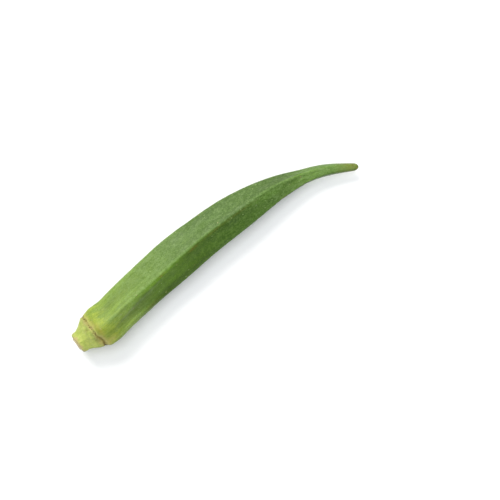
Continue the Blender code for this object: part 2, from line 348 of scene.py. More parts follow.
# The stubs of fibre: spread round and out from the bundles, the shares they stay between, how they
# vary, like hairs, and their bend as a share of the lean
FIBRE_TURNS, FIBRE_SPREAD, FIBRE_LIMITS, FIBRE_BEND = 0.05, 0.06, (0.5, 0.85), 0.3
FIBRE_LENGTHS, FIBRE_RADII, FIBRE_LEANS = (0.5, 1.2), (0.6, 1.3), (10, 75)

# The specks: where they start and fade, the half width of the band along a ridge where more grow,
# how thick they grow off it, to which the band adds one, and how they vary and are drawn out
SPECKS_START, SPECKS_FADE = (9.5 * MM, 13 * MM), (118 * MM, 126 * MM)
SPECKS_RIDGE, SPECKS_LEAST, SPECK_SIZES, SPECK_STRETCHES = 0.9 * MM, 0.5, (0.5, 1.2), (1.0, 1.9)
# A speck: its sides, the radius and height of each ring, and the height of its two poles
SPECK_SIDES = 8
SPECK_LEVELS = ((1.0, -0.35), (1.0, 0.0), (0.82, 0.22), (0.45, 0.38))
SPECK_TOP, SPECK_FOOT = 0.43, -0.35

# Soft patches, from where they start to where they are full: dark ones, pale ones and fine streaks
DARK, PALE, STREAKS = (0.40, 0.64), (0.46, 0.70), (0.3, 0.7)
FINEST = (0.2, 0.8)

FLOOR_DROP = 0.02 * MM
FLOOR_STAIN = (0.9, 0.9, 0.9)
LIGHT_AIM = (0.0, 0.0, 5 * MM)
# The lights: their direction in the picture (right, up, towards the viewer), distance and size
LIGHTS = (("key", (-0.40, 0.90, 0.80), 1.2, 0.7), ("top", (0.0, 0.0, 1.0), 1.3, 1.3))


def smooth_curve(stations, values, at):
    """Reads a smooth curve at the given places: a cubic between each two stations, whose slope at
    a station is that of the parabola through it and the stations beside it."""
    slopes = np.gradient(values, stations)
    left = np.clip(np.searchsorted(stations, at) - 1, 0, len(stations) - 2)
    gap = stations[left + 1] - stations[left]
    share = (at - stations[left]) / gap
    square, cube = share**2, share**3
    return (
        (2 * cube - 3 * square + 1) * values[left]
        + (cube - 2 * square + share) * gap * slopes[left]
        + (3 * square - 2 * cube) * values[left + 1]
        + (cube - square) * gap * slopes[left + 1]
    )


def read_table(table, along, factor=1.0):
    """Reads a table of distances in millimetres and values, with one result a column of values."""
    stations, *columns = np.array(table).T
    return [smooth_curve(stations * MM, column * factor, along) for column in columns]


def ramp(start, end, at):
    """0 before start and 1 past end, rising as three times the square less twice the cube."""
    share = np.clip((at - start) / (end - start), 0, 1)
    return share * share * (3 - 2 * share)


def bell(offset, half_width):
    """A Gaussian bell: e to the power of minus the square of offset over half width."""
    return np.exp(-((offset / half_width) ** 2))


def unit(vectors):
    """The vectors, each divided by its own length."""
    return vectors / np.linalg.norm(vectors, axis=-1, keepdims=True)


def ripple(name, along, angles):
    """Smooth random relief of about -1 to 1 that closes round the pod: a sum of cosines, each with
    a length along the pod between the two of its table, a whole number of waves round it up to the
    given one, and a random phase, divided by the root of half their count."""
    seed, shortest, longest, turns, count = WAVES[name]
    random = np.random.default_rng(seed)
    total = np.zeros((len(along), len(angles)))
    for _ in range(count):
        length = random.uniform(shortest * MM, longest * MM)
        around = random.integers(-turns, turns + 1)
        phase = random.uniform(0, TURN)
        total += np.cos(TURN * along / length + around * angles + phase)
    return total / np.sqrt(count / 2)


def ring_ripple(name, angles):
    """The same relief round one ring."""
    return ripple(name, np.zeros((1, 1)), angles)[0]


def from_ridge(angles):
    """How far round the section each angle is from its nearest ridge, as a share of a face."""
    return (angles * FACES / TURN + 0.5) % 1 - 0.5


def at_ridges(angles):
    """1 at each ridge and 0 in the middle of each face, as a cosine."""
    return 0.5 + 0.5 * np.cos(FACES * angles)


def centre_line():
    """Returns (distances, points) closely along the centre line."""
    along, across, up = np.array(CENTRE_LINE).T * MM
    x = np.linspace(along[0], along[-1], CENTRE_SAMPLES)
    points = np.column_stack((x, smooth_curve(along, across, x), smooth_curve(along, up, x)))
    steps = np.linalg.norm(np.diff(points, axis=0), axis=1)
    return np.concatenate(([0], np.cumsum(steps))), points


def quarter_turn(rows):
    """Angles from nothing up to a quarter turn, which is left out."""
    return np.linspace(0, np.pi / 2, rows + 1)[:-1]


def row_distances(length, settings):
    """Returns (distance from the cut, share of the full radius) of each row on the side, as
    columns: a quarter turn for the rim of the cut, evenly spaced rows on the cap, the scar, the
    shoulder and the body, and a quarter turn for the tip."""
    turn = quarter_turn(settings.rim_rows)
    rim = CUT_RIM * (1 - np.cos(turn))
    rim_share = 1 - CUT_RIM / (HALF_WIDTHS[0][1] * MM) * (1 - np.sin(turn))
    ends = (CUT_RIM, SCAR_ZONE[0], SCAR_ROWS_END, SHOULDER_END, length - TIP_ROUND)
    gaps = (settings.cap_gap, settings.scar_gap, settings.shoulder_gap, settings.body_gap)
    side = [
        np.linspace(start, end, round((end - start) / gap), endpoint=False)
        for start, end, gap in zip(ends, ends[1:], gaps)
    ]
    turn = quarter_turn(settings.tip_rows)
    distances = np.concatenate([rim, *side, length - TIP_ROUND * (1 - np.sin(turn))])
    shares = np.concatenate([rim_share, np.ones(sum(map(len, side))), np.cos(turn)])
    return distances[:, None], shares[:, None]


def angles_from_ridge(points_a_face):
    """The angles of a section's points about the centre line, counted from its first ridge: evenly
    spaced, less a sine that crowds them towards each ridge."""
    count = FACES * points_a_face
    turns = np.arange(count) / count
    return TURN * (turns - RIDGE_CROWDING * np.sin(TURN * FACES * turns) / (TURN * FACES))


def plain_sections(along, angles, half_widths):
    """Returns (radii, arcs) by row and angle. A section is a pentagon with rounded corners: the
    point where the shares of its distance towards the five faces, each to the power of the
    sharpness, add up to one. The rib on each ridge and the hollow of each face are added to it.
    The arc is how far round a point is from its nearest ridge."""
    sharpness = read_table(SHARPNESSES, along)[0]
    face_normals = TURN * (np.arange(FACES) + 0.5) / FACES
    towards = np.clip(np.cos(angles[:, None] - face_normals), 0, None)
    shape = np.stack([(towards**power).sum(1) ** (-1 / power) for power in sharpness[:, 0]])
    radii = half_widths * shape
    off_ridge = from_ridge(angles)
    arcs = off_ridge * 2 * np.pi / FACES * radii
    strength = ramp(RIB_STARTS, RIB_FULL, along) * (1 - ramp(RIB_FADES, along[-1], along))
    rib = RIB_HEIGHT * bell(arcs, RIB_HALF_WIDTH)
    hollow = HOLLOW_DEPTH * np.sin(np.pi * off_ridge) ** 2
    return radii + strength * (rib - hollow), arcs


def ridge_base_relief(along, arcs, settings):
    """The broad base of each ridge: the face beyond the base's edge sinks by the valley's depth,
    and the slope between is a ramp that is centred on the edge."""
    reach = read_table(BASE_HALF_WIDTHS, along, MM)[0]
    reach = np.where(arcs < 0, reach, BASE_OTHER_SIDE * reach)
    depth = read_table(VALLEY_DEPTHS, along, MM)[0] * settings.valley_depth
    return -depth * ramp(reach - BASE_EDGE / 2, reach + BASE_EDGE / 2, np.abs(arcs))


def skin_relief(along, angles, arcs, settings):
    """The uneven skin of the pod: slow swellings, short dimples and fine lengthwise cords, each a
    sum of waves, a shallow seam along the middle of each face, and a vein there near the tip."""
    relief = (
        settings.swelling * ripple("swelling", along, angles)
        + settings.dimple * ripple("dimples", along, angles)
        + settings.cord * ripple("cords", along, angles)
    )
    off_middle = np.abs(from_ridge(angles)) - 0.5
    seam = bell(off_middle, SEAM_WIDTH) * (1 - ramp(*SEAM_FADES, along))
    vein = bell(off_middle, VEIN_WIDTH) * ramp(*VEIN_STARTS, along)
    body = ramp(*BODY_STARTS, along) * (1 - ramp(*BODY_FADES, along))
    off_crest = 1 - CREST_SMOOTHER * bell(arcs, CREST_SMOOTH_WIDTH)
    veins = settings.tip_vein * vein * (1 - ramp(*VEIN_FADES, along))
    return body * (off_crest * relief - settings.seam * seam) + veins


def cap_relief(along, angles, settings):
    """The cap's lengthwise wrinkles and its low knobs, which end just before the scar."""
    on_cap = ramp(*CAP_STARTS, along) * (1 - ramp(SCAR_AT - CAP_FADES_WITHIN, SCAR_AT, along))
    wrinkles, knobs = ripple("wrinkles", along, angles), ripple("knobs", along, angles)
    return on_cap * (settings.wrinkle * wrinkles + KNOB_SHARE * settings.wrinkle * knobs)


def about_scar(table, turned):
    """Reads a table of the scar at each angle about the centre line, straight between stations."""
    degrees, values = np.array(table).T
    return np.interp((np.degrees(turned) + 180) % 360 - 180, degrees, values)


def scar_relief(along, angles, turned, settings):
    """The ring of the scar: a groove that is a bell across its line, deeper and wider by waves and
    filled on top where it is little worn, and a low lip on both sides, highest at the ridges."""
    depth = 1 + GROOVE_DEPTH_VARIES * ring_ripple("groove depth", angles)
    width = 1 + GROOVE_WIDTH_VARIES * ring_ripple("groove width", angles)
    offset = along - SCAR_AT
    groove = np.clip(depth, *GROOVE_DEPTH_LIMITS) * bell(offset, SCAR_HALF_WIDTH * width)
    unworn = np.clip(1 - about_scar(SCAR_WEARS, turned), 0, 1)
    on_top = bell(np.degrees(turned) - SCAR_FILLS_AT, SCAR_FILLS_WITHIN)
    fill = settings.scar_fill * unworn * on_top * bell(offset, SCAR_HALF_WIDTH)
    chips = settings.scar_chip * bell(offset, CHIPS_REACH) * ripple("chips", along, angles)
    lips = sum(
        height * bell(offset - beside, half_width) * (least + (1 - least) * at_ridges(angles))
        for beside, half_width, height, least in LIPS
    )
    return settings.scar_lip * lips - settings.scar_extra * groove + chips + fill


def place(line_distances, line_points, along, across, up, forward):
    """Turns (across, up, forward) about the centre line at each distance into points."""
    headings = np.gradient(line_points, line_distances, axis=0)
    centre, ahead = (
        np.column_stack([np.interp(along[:, 0], line_distances, axis) for axis in line.T])
        for line in (line_points, headings)
    )
    ahead = unit(ahead)
    sideways = unit(np.cross((0, 0, 1), ahead))
    upwards = np.cross(ahead, sideways)
    moves = ((across, sideways), (up, upwards), (forward, ahead))
    return sum((amount[..., None] * axis[:, None] for amount, axis in moves), centre[:, None])


def pod_side(settings):
    """Works out the pod's side on a grid of rows and angles: its points, the straightened place of
    each (distance along, and across and up with the twist taken out), its arc from the nearest
    ridge, and the distance of each row. The heading at the cut and the middle of the tip come with
    it."""
    line_distances, line_points = centre_line()
    along, shares = row_distances(line_distances[-1], settings)
    angles = angles_from_ridge(settings.points_a_face)
    groove = SCAR_DEPTH * bell(along - SCAR_AT, SCAR_HALF_WIDTH)
    half_widths = read_table(HALF_WIDTHS, along, MM)[0] - groove
    radii, arcs = plain_sections(along, angles, half_widths)
    turned = angles + np.radians(read_table(TWISTS, along)[0])
    across = radii * np.sin(turned)
    most, least = across.max(1, keepdims=True), across.min(1, keepdims=True)
    scale = half_widths / ((most - least) / 2)
    middle = (most + least) / 2 * scale
    full = radii * scale + (
        ridge_base_relief(along, arcs, settings)
        + skin_relief(along, angles, arcs, settings)
        + cap_relief(along, angles, settings)
        + scar_relief(along, angles, turned, settings)
    )
    across = (full * np.sin(turned) - middle) * shares
    up = full * np.cos(turned) * shares
    wobble = SCAR_WOBBLE * ring_ripple("wobble", angles)
    bends = about_scar(SCAR_BENDS, turned) * MM
    wave = SCAR_WAVE * np.cos(FACES * angles) - SCAR_TILT * across + wobble + bends
    slant = CUT_SLANT * (1 - ramp(0, SCAR_AT, along)) * up
    forward = bell(along - SCAR_AT, SCAR_WAVE_REACH) * wave + slant
    round_pod, beside = full * shares, np.broadcast_to(along, full.shape)
    straight = (beside, round_pod * np.sin(angles), round_pod * np.cos(angles))
    return SimpleNamespace(
        points=place(line_distances, line_points, along, across, up, forward),
        straight=np.stack(straight, axis=-1),
        arcs=arcs,
        angles=angles,
        turned=turned,
        along=along,
        ahead=(line_points[1] - line_points[0]) / line_distances[1],
        tip=line_points[-1],
    )


def cut_face(side, settings):
    """Works out the face of the cut: rings that are the rim drawn in towards the middle. The face
    bulges outwards by the dome, less a sunken pith, a groove inside the rind, and the dents
    between the fibre bundles, which stand in a ring. Returns (points, shares, middle)."""
    rim = side.points[0]
    middle = rim.mean(0)
    shares = np.linspace(0, 1, settings.cut_rings + 2)[1:-1, None]
    bundles = 0.5 + 0.5 * np.cos(settings.fibre_bundles * side.angles)
    pith = settings.pith_depth * (1 - ramp(*PITH_EDGE, shares))
    groove_at, groove_width, groove_depth = RIND_GROOVE
    ring_at, ring_width, ring_height = BUNDLE_RING
    groove = groove_depth * bell(shares - groove_at, groove_width)
    ring = ring_height * bell(shares - ring_at, ring_width) * bundles
    grain = CUT_GRAIN * ripple("cut grain", shares * CUT_GRAIN_SPAN * MM, side.angles)
    out = CUT_DOME * (1 - shares**2) - pith - groove + ring + grain * ramp(*CUT_GRAIN_FADES, shares)
    out = np.clip(out, -CUT_DEEPEST, CUT_DOME)
    rings = middle + shares[..., None] * (rim - middle) - out[..., None] * side.ahead
    return rings, shares, middle - (CUT_DOME - settings.pith_depth) * side.ahead


def keep_in_box(points):
    """Holds the points inside the part's own box, which is flat underneath."""
    return np.clip(points, BOX_LOW, BOX_HIGH)


def side_with_normals(settings):
    """The pod's side with the outward normals of its grid: the cross product of the step along the
    rows and the step round them, each a central difference."""
    side = pod_side(settings)
    side.points = keep_in_box(side.points)
    around = np.roll(side.points, -1, axis=1) - np.roll(side.points, 1, axis=1)
    normals = np.cross(around, np.gradient(side.points, axis=0))
    side.normals = normals / np.maximum(np.linalg.norm(normals, axis=2, keepdims=True), 1e-12)
    return side


def fill_mesh(name, points, corner_lists, materials, skins=None):
    """A mesh from an array of points and arrays of faces that each have three or four corners."""
    mesh = bpy.data.meshes.new(name)
    corners = np.concatenate([faces.ravel() for faces in corner_lists])
    sizes = np.concatenate([np.full(len(faces), faces.shape[1]) for faces in corner_lists])
    mesh.vertices.add(len(points))
    mesh.vertices.foreach_set("co", points.astype(np.float32).ravel())
    mesh.loops.add(len(corners))
    mesh.loops.foreach_set("vertex_index", corners.astype(np.int32))
    mesh.polygons.add(len(sizes))
    mesh.polygons.foreach_set("loop_start", (np.cumsum(sizes) - sizes).astype(np.int32))
    for material in materials:
        mesh.materials.append(material)
    if skins is not None:
        mesh.polygons.foreach_set("material_index", skins.astype(np.int32))
    mesh.update(calc_edges=True)
    if mesh.validate():
        raise RuntimeError(f"the mesh of {name} had faces that had to be mended")
    mesh.shade_smooth()
    return mesh


def store(mesh, name, values, kind="FLOAT", field="value"):
    """Stores one number or one vector a point on the mesh, for its materials to read."""
    held = mesh.attributes.new(name, kind, "POINT").data
    held.foreach_set(field, values.astype(np.float32).ravel())


def show(mesh, name):
    """Puts a finished mesh in the scene, riding on the pod."""
    piece = bpy.data.objects.new(name, mesh)
    bpy.context.scene.collection.objects.link(piece)
    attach(piece, "root")
    return piece


def as_colour(value):
    """A colour of three numbers with its fourth, or a socket as it is."""
    return value if isinstance(value, bpy.types.NodeSocket) else (*value, 1.0)


class Net:
    """A node tree with short ways to add what the pod's finishes are made of. A material's own net
    also has its shader, and the spot in millimetres that its patterns are laid out by."""

    def __init__(self, tree):
        self.tree = tree
        self.shader = tree.nodes.get("Principled BSDF")

    def node(self, kind, inputs=None, **choices):
        """Adds a node, makes its choices, links or sets its inputs, and gives its outputs."""
        made = self.tree.nodes.new("ShaderNode" + kind)
        for name, value in choices.items():
            setattr(made, name, value)
        for name, value in (inputs or {}).items():
            if isinstance(value, bpy.types.NodeSocket):
                self.tree.links.new(value, made.inputs[name])
            else:
                made.inputs[name].default_value = value
        return made.outputs

    def math(self, operation, *values, clamp=False):
        """One sum of numbers or sockets, and its result."""
        return self.node("Math", dict(enumerate(values)), operation=operation, use_clamp=clamp)[0]

    def times(self, first, second, clamp=False):
        """The product of two numbers."""
        return self.math("MULTIPLY", first, second, clamp=clamp)

    def add(self, value, factor, more):
        """A number times a factor, and more."""
        return self.math("MULTIPLY_ADD", value, factor, more)

    def swing(self, mask, reach, middle=0.0):
        """A mask as a swing of that whole reach about a middle."""
        return self.add(mask, reach, middle - reach / 2)

    def spread(self, value, start, end, low=0.0, high=1.0, how="LINEAR"):
        """Carries a number from one range into another and holds it at the ends."""
        inputs = {"Value": value, "From Min": start, "From Max": end, "To Min": low, "To Max": high}
        return self.node("MapRange", inputs, interpolation_type=how)[0]

    def scale(self, first, second):
        """Two vectors multiplied number by number."""
        return self.node("VectorMath", {0: first, 1: second}, operation="MULTIPLY")[0]

    def noise(self, spot, scale, detail):
        """A noise between 0 and 1."""
        return self.node("TexNoise", {"Vector": spot, "Scale": scale, "Detail": detail})[0]

    def blend(self, share, first, second, how="MIX"):
        """Mixes two colours by a share."""
        inputs = {"Factor": share, 6: as_colour(first), 7: as_colour(second)}
        return self.node("Mix", inputs, data_type="RGBA", blend_type=how)[2]

    def lay(self, colour, mask, share, over, how="MIX"):
        """Lays another colour over a colour where the mask is, by a share."""
        return self.blend(self.times(mask, share), colour, over, how)

    def along_stops(self, place, stops):
        """A colour that changes with a place: stops of (place, colour)."""
        first, last = stops[0][0], stops[-1][0]
        made = self.node("ValToRGB", {"Fac": self.spread(place, first, last)})["Color"]
        elements = made.node.color_ramp.elements
        while len(elements) < len(stops):
            elements.new(0.5)
        for element, (at, colour) in zip(elements, stops):
            element.position = (at - first) / (last - first)
            element.color = as_colour(colour)
        return made

    def read(self, name, output="Fac"):
        """The socket of a number stored on the mesh, or of a vector by its output."""
        return self.node("Attribute", attribute_name=name)[output]

    def shared(self, name, make, inputs):
        """Places a node group, which is built the first time it is asked for."""
        return self.node("Group", inputs, node_tree=bpy.data.node_groups.get(name) or make(name))

    def patches(self, size, drawn_out=1.0, low=0.35, high=0.65):
        """A mask of soft patches."""
        inputs = {"Place": self.spot, "Size": size, "Drawn Out": drawn_out}
        inputs.update({"Low": low, "High": high})
        return self.shared("Okra soft patches", patches_group, inputs)["Mask"]

    def specks(self, spacing, radius, share):
        """A mask of scattered specks."""
        inputs = {"Place": self.spot, "Spacing": spacing, "Radius": radius, "Share": share}
        return self.shared("Okra specks", specks_group, inputs)["Mask"]

    def pores(self, size):
        """The height of the skin's grain."""
        inputs = {"Place": self.spot, "Size": size}
        return self.shared("Okra skin grain", pores_group, inputs)["Height"]

    def feed(self, **sockets):
        """Links sockets to the shader's own, whose names have an underscore for a space."""
        for name, socket in sockets.items():
            self.tree.links.new(socket, self.shader.inputs[name.replace("_", " ")])

    def bump(self, height, depth):
        """Feeds a height through a Bump node of that depth in metres into the shader's normal."""
        inputs = {"Height": height, "Distance": depth, "Strength": 1.0}
        self.feed(Normal=self.node("Bump", inputs)[0])


def new_group(name, numbers, results):
    """A shader node group with named inputs, a place and numbers, and named numbers as outputs.
    Returns its net, what it is given and a function that links one of its results."""
    tree = bpy.data.node_groups.new(name, "ShaderNodeTree")
    tree.interface.new_socket(name="Place", in_out="INPUT", socket_type="NodeSocketVector")
    for socket, default in numbers.items():
        made = tree.interface.new_socket(name=socket, in_out="INPUT", socket_type="NodeSocketFloat")
        made.default_value = default
    for socket in results:
        tree.interface.new_socket(name=socket, in_out="OUTPUT", socket_type="NodeSocketFloat")
    given = tree.nodes.new("NodeGroupInput").outputs
    result = tree.nodes.new("NodeGroupOutput").inputs
    return Net(tree), given, lambda socket, value: tree.links.new(value, result[socket])


def patches_group(name):
    """Soft patches: noise whose size is in millimetres, drawn out along the pod, between a low and
    a high value."""
    numbers = {"Size": 2.0, "Drawn Out": 1.0, "Low": 0.35, "High": 0.65}
    net, given, give = new_group(name, numbers, ("Mask",))
    frequency = net.math("DIVIDE", 1.0, given["Size"])
    slower = net.math("DIVIDE", frequency, given["Drawn Out"])
    stretch = net.node("CombineXYZ", {"X": slower, "Y": frequency, "Z": frequency})[0]
    noise = net.noise(net.scale(given["Place"], stretch), 1.0, 3.0)
    give("Mask", net.spread(noise, given["Low"], given["High"], how="SMOOTHSTEP"))
    return net.tree


def specks_group(name):
    """Scattered specks: cells of the given spacing, of which a share holds a round speck."""
    net, given, give = new_group(name, {"Spacing": 2.0, "Radius": 0.2, "Share": 0.5}, ("Mask",))
    frequency = net.math("DIVIDE", 1.0, given["Spacing"])
    cells = net.node("TexVoronoi", {"Vector": given["Place"], "Scale": frequency})
    inside = net.math("DIVIDE", cells["Distance"], net.times(given["Radius"], frequency))
    speck = net.spread(inside, 1.2, 0.6, how="SMOOTHSTEP")
    chance = net.node("SeparateColor", {0: cells["Color"]})[0]
    give("Mask", net.times(speck, net.math("LESS_THAN", chance, given["Share"])))
    return net.tree


def pores_group(name):
    """The finest grain of the skin: rounded cells with a little noise, as a height."""
    net, given, give = new_group(name, {"Size": 0.3}, ("Height",))
    frequency = net.math("DIVIDE", 1.0, given["Size"])
    cells = {"Vector": given["Place"], "Scale": frequency, "Smoothness": 0.6}
    cells = net.node("TexVoronoi", cells, feature="SMOOTH_F1")
    noise = net.noise(given["Place"], frequency, 2.0)
    give("Height", net.math("SUBTRACT", noise, cells["Distance"]))
    return net.tree


def scar_stain_group(name):
    """The stain about the scar, by the signed distance from its line: a brown core with ragged
    edges, wider where it is more worn, a tan margin that fades into the skin on both sides, and
    dark blots."""
    net, given, give = new_group(name, {"From Scar": 0.0, "Wear": 1.0}, ("Core", "Margin", "Blot"))
    rough, slow = net.noise(given["Place"], 0.9, 4.0), net.noise(given["Place"], 0.28, 2.0)
    ragged = net.math("ADD", net.math("ABSOLUTE", given["From Scar"]), net.swing(rough, 1.0))
    width = net.add(slow, 1.5, net.add(given["Wear"], 1.65, -1.22))
    width = net.math("MAXIMUM", width, 0.04)
    core = net.spread(ragged, width, 0.0, how="SMOOTHSTEP")
    blot = net.times(net.spread(slow, 0.5, 0.66), net.spread(ragged, 1.3, 0.2))
    give("Core", net.times(core, given["Wear"], clamp=True))
    give("Margin", net.spread(ragged, 1.7, 0.2, how="SMOOTHSTEP"))
    give("Blot", net.times(blot, given["Wear"]))
    return net.tree


def new_material(name, roughness, sheen=0.0, specular=0.3, place="object"):
    """A material with a Principled shader, whose plain numbers are set on its own sockets. Its spot
    is the pod's straightened place, or the place in the object."""
    material = bpy.data.materials.new(name)
    material.use_nodes = True
    net = Net(material.node_tree)
    net.shader.inputs["Roughness"].default_value = roughness
    net.shader.inputs["Specular IOR Level"].default_value = specular
    net.shader.inputs["Sheen Weight"].default_value = sheen
    net.shader.inputs["Sheen Roughness"].default_value = 0.5
    if place == "pod":
        net.spot = net.read("straight", "Vector")
    elif place == "object":
        net.spot = net.scale(net.node("TexCoord")["Object"], (1 / MM, 1 / MM, 1 / MM))
    return material, net


def stained(net, colour, settings):
    """Lays the scar's stain over a colour: the tan margin, the brown core and the dark blots."""
    wear = net.read("wear")
    inputs = {"Place": net.spot, "From Scar": net.read("from_scar"), "Wear": wear}
    stain = net.shared("Okra scar stain", scar_stain_group, inputs)
    colour = net.lay(colour, stain["Margin"], net.add(wear, 0.35, 0.30), settings.margin_colour)
    colour = net.blend(stain["Core"], colour, settings.scar_colour)
    return net.lay(colour, stain["Blot"], 0.8, settings.blot_colour)


def marked(net, colour, settings):
    """Lays the marks over a colour, each kind with its own colour, ragged by the same patches."""
    ragged = net.add(net.patches(0.6, 1.4, *STREAKS), 0.7, 0.45)
    for kind in MARK_KINDS:
        share = net.times(net.read("mark_" + kind), ragged, clamp=True)
        colour = net.blend(share, colour, getattr(settings, kind + "_mark"))
    return colour


def shaded(net, colour):
    """The colour times the painted shade and light of its face."""
    return net.scale(colour, net.read("shade", "Vector"))


def pod_skin_material(settings):
    """The skin of the pod: a green that changes along it, paler on the ridges, where the paler line
    also stands as a painted highlight, and near the stem, mottled and streaked lengthwise, with
    brown scuffs and a fine downy grain, all times the painted shade and light of its faces."""
    roughness, sheen = settings.skin_roughness, settings.skin_sheen
    material, net = new_material("okra pod skin", roughness, sheen, 0.2, "pod")
    along, dark, pale = net.read("along"), settings.dark_tint, settings.pale_mottle
    stops = (
        (9.0, settings.shoulder_colour),
        (11.5, settings.shoulder_colour),
        (16.0, settings.stem_colour),
        (28.0, settings.quarter_colour),
        (46.0, settings.middle_colour),
        (68.0, settings.far_colour),
        (92.0, settings.far_colour),
        (108.0, settings.beak_colour),
        (118.0, settings.beak_colour),
        (124.0, settings.tip_colour),
    )
    near_stem = net.spread(along, 30.0, 14.0)
    past_stem = net.spread(along, 14.0, 42.0, 0.5, 1.35)
    drift = net.times(net.swing(net.patches(2.6, 2.5), 6.0), near_stem)
    colour = net.along_stops(net.math("ADD", along, drift), stops)
    for size, drawn_out, strength in ((2.4, 2.0, 0.27), (0.9, 1.6, 0.33)):
        share = net.times(past_stem, strength)
        colour = net.lay(colour, net.patches(size, drawn_out, *DARK), share, dark, "MULTIPLY")
    colour = net.lay(colour, net.patches(0.40, 1.2, *DARK), 0.95, dark, "MULTIPLY")
    for size, drawn_out, strength in ((0.5, 18.0, 0.5), (1.3, 14.0, 0.4)):
        share = net.add(near_stem, 0.7 * strength, strength)
        colour = net.lay(colour, net.patches(size, drawn_out, *DARK), share, dark, "MULTIPLY")
    for size, drawn_out, strength, at_stem in ((1.1, 1.5, 0.29, -0.10), (0.42, 1.4, 0.33, -0.27)):
        share = net.add(near_stem, at_stem, strength)
        colour = net.lay(colour, net.patches(size, drawn_out, *PALE), share, pale)
    # The paler line along each ridge, which also stands as a painted highlight
    colour = net.lay(colour, net.read("crest"), net.spread(along, 68.0, 52.0, 0.03, 0.16), pale)
    worn = net.times(net.read("scuff"), net.patches(0.5, 1.8, 0.30, 0.62))
    colour = net.lay(colour, worn, 0.75, settings.scuff_colour)
    colour = net.lay(colour, net.specks(3.6, 0.24, 0.20), 0.5, settings.scuff_colour)
    colour = net.lay(colour, net.specks(5.3, 0.40, 0.16), 0.35, settings.pale_speck)
    tip_dots = net.times(net.specks(0.85, 0.20, 0.40), net.spread(along, 121.0, 124.0))
    colour = net.lay(colour, tip_dots, 0.65, settings.tip_dot)
    # Times the painted shade and light of each face
    colour = shaded(net, stained(net, marked(net, colour, settings), settings))
    net.feed(Base_Color=colour, Roughness=net.swing(net.patches(1.1, 2.0), 0.12, roughness))
    net.bump(net.add(net.patches(0.5, 9.0, *STREAKS), 0.6, net.pores(0.34)), settings.grain_depth)
    return material


def cap_skin_material(settings):
    """The skin of the cap: a pale yellow-green, greener in soft patches, paler in soft streaks,
    with the scar's stain at one end and a tan edge at the cut."""
    material, net = new_material("okra cap skin", settings.cap_roughness, 0.10, 0.2, "pod")
    stops = (
        (0.0, settings.cut_edge_colour),
        (0.35, settings.cut_edge_colour),
        (1.1, settings.cap_colour),
        (5.0, settings.cap_colour),
        (8.0, settings.cap_green),
    )
    drift = net.swing(net.patches(1.3), 1.3)
    colour = net.along_stops(net.math("ADD", net.read("along"), drift), stops)
    for size, drawn_out, strength in ((0.40, 1.2, 0.6), (0.6, 8.0, 0.5)):
        mask = net.patches(size, drawn_out, *DARK)
        colour = net.lay(colour, mask, strength, settings.dark_tint, "MULTIPLY")
    colour = net.lay(colour, net.patches(2.4, 1.8, 0.44, 0.70), 0.55, settings.cap_green)
    colour = net.lay(colour, net.patches(0.9, 2.6, 0.48, 0.70), 0.22, settings.cap_pale)
    colour = net.lay(colour, net.patches(1.7, 1.0, 0.58, 0.74), 0.40, settings.margin_colour)
    colour = net.lay(colour, net.specks(1.5, 0.19, 0.30), 0.5, settings.scar_colour)
    # Times the painted shade and light of each face
    colour = shaded(net, stained(net, marked(net, colour, settings), settings))
    net.feed(Base_Color=colour, Roughness=net.swing(net.patches(0.9), 0.16, settings.cap_roughness))
    height = net.add(net.patches(0.35, 7.0, *STREAKS), 0.8, net.pores(0.28))
    net.bump(height, settings.grain_depth * 1.3)
    return material


def calyx_scar_material(settings):
    """The dried scar: brown in its groove, with flaky tan edges that meet the skin's own stain."""
    material, net = new_material("okra calyx scar", 0.85, place="pod")
    beside = net.spread(net.read("from_scar"), -0.5, 0.5)
    colour = net.blend(beside, settings.cap_green, settings.shoulder_colour)
    colour = marked(net, stained(net, colour, settings), settings)
    colour = net.lay(colour, net.patches(0.35, 1.0, 0.45, 0.6), 0.35, settings.margin_colour)
    # Times the painted shade and light of each face
    net.feed(Base_Color=shaded(net, colour))
    net.bump(net.math("ADD", net.patches(0.22, 1.0, *FINEST), net.pores(0.16)), 0.07 * MM)
    return material


def cut_stem_material(settings):
    """The dried cut: a pale pith, a ring of fibre bundles, a greenish rind and a straw edge."""
    material, net = new_material("okra cut stem", 0.8, place="pod")
    stops = (
        (0.0, settings.pith_colour),
        (0.42, settings.pith_colour),
        (0.58, settings.fibre_colour),
        (0.72, settings.fibre_colour),
        (0.82, settings.rind_colour),
        (0.95, settings.rim_colour),
        (1.0, settings.rim_colour),
    )
    drift = net.swing(net.patches(0.7), 0.14)
    colour = net.along_stops(net.math("ADD", net.read("cut_share"), drift), stops)
    colour = net.lay(colour, net.specks(0.42, 0.10, 0.5), 0.45, settings.scar_colour)
    colour = net.lay(colour, net.patches(0.5, 1.0, 0.5, 0.7), 0.35, settings.margin_colour)
    net.feed(Base_Color=colour)
    net.bump(net.math("ADD", net.patches(0.18, 1.0, *FINEST), net.pores(0.14)), 0.06 * MM)
    return material


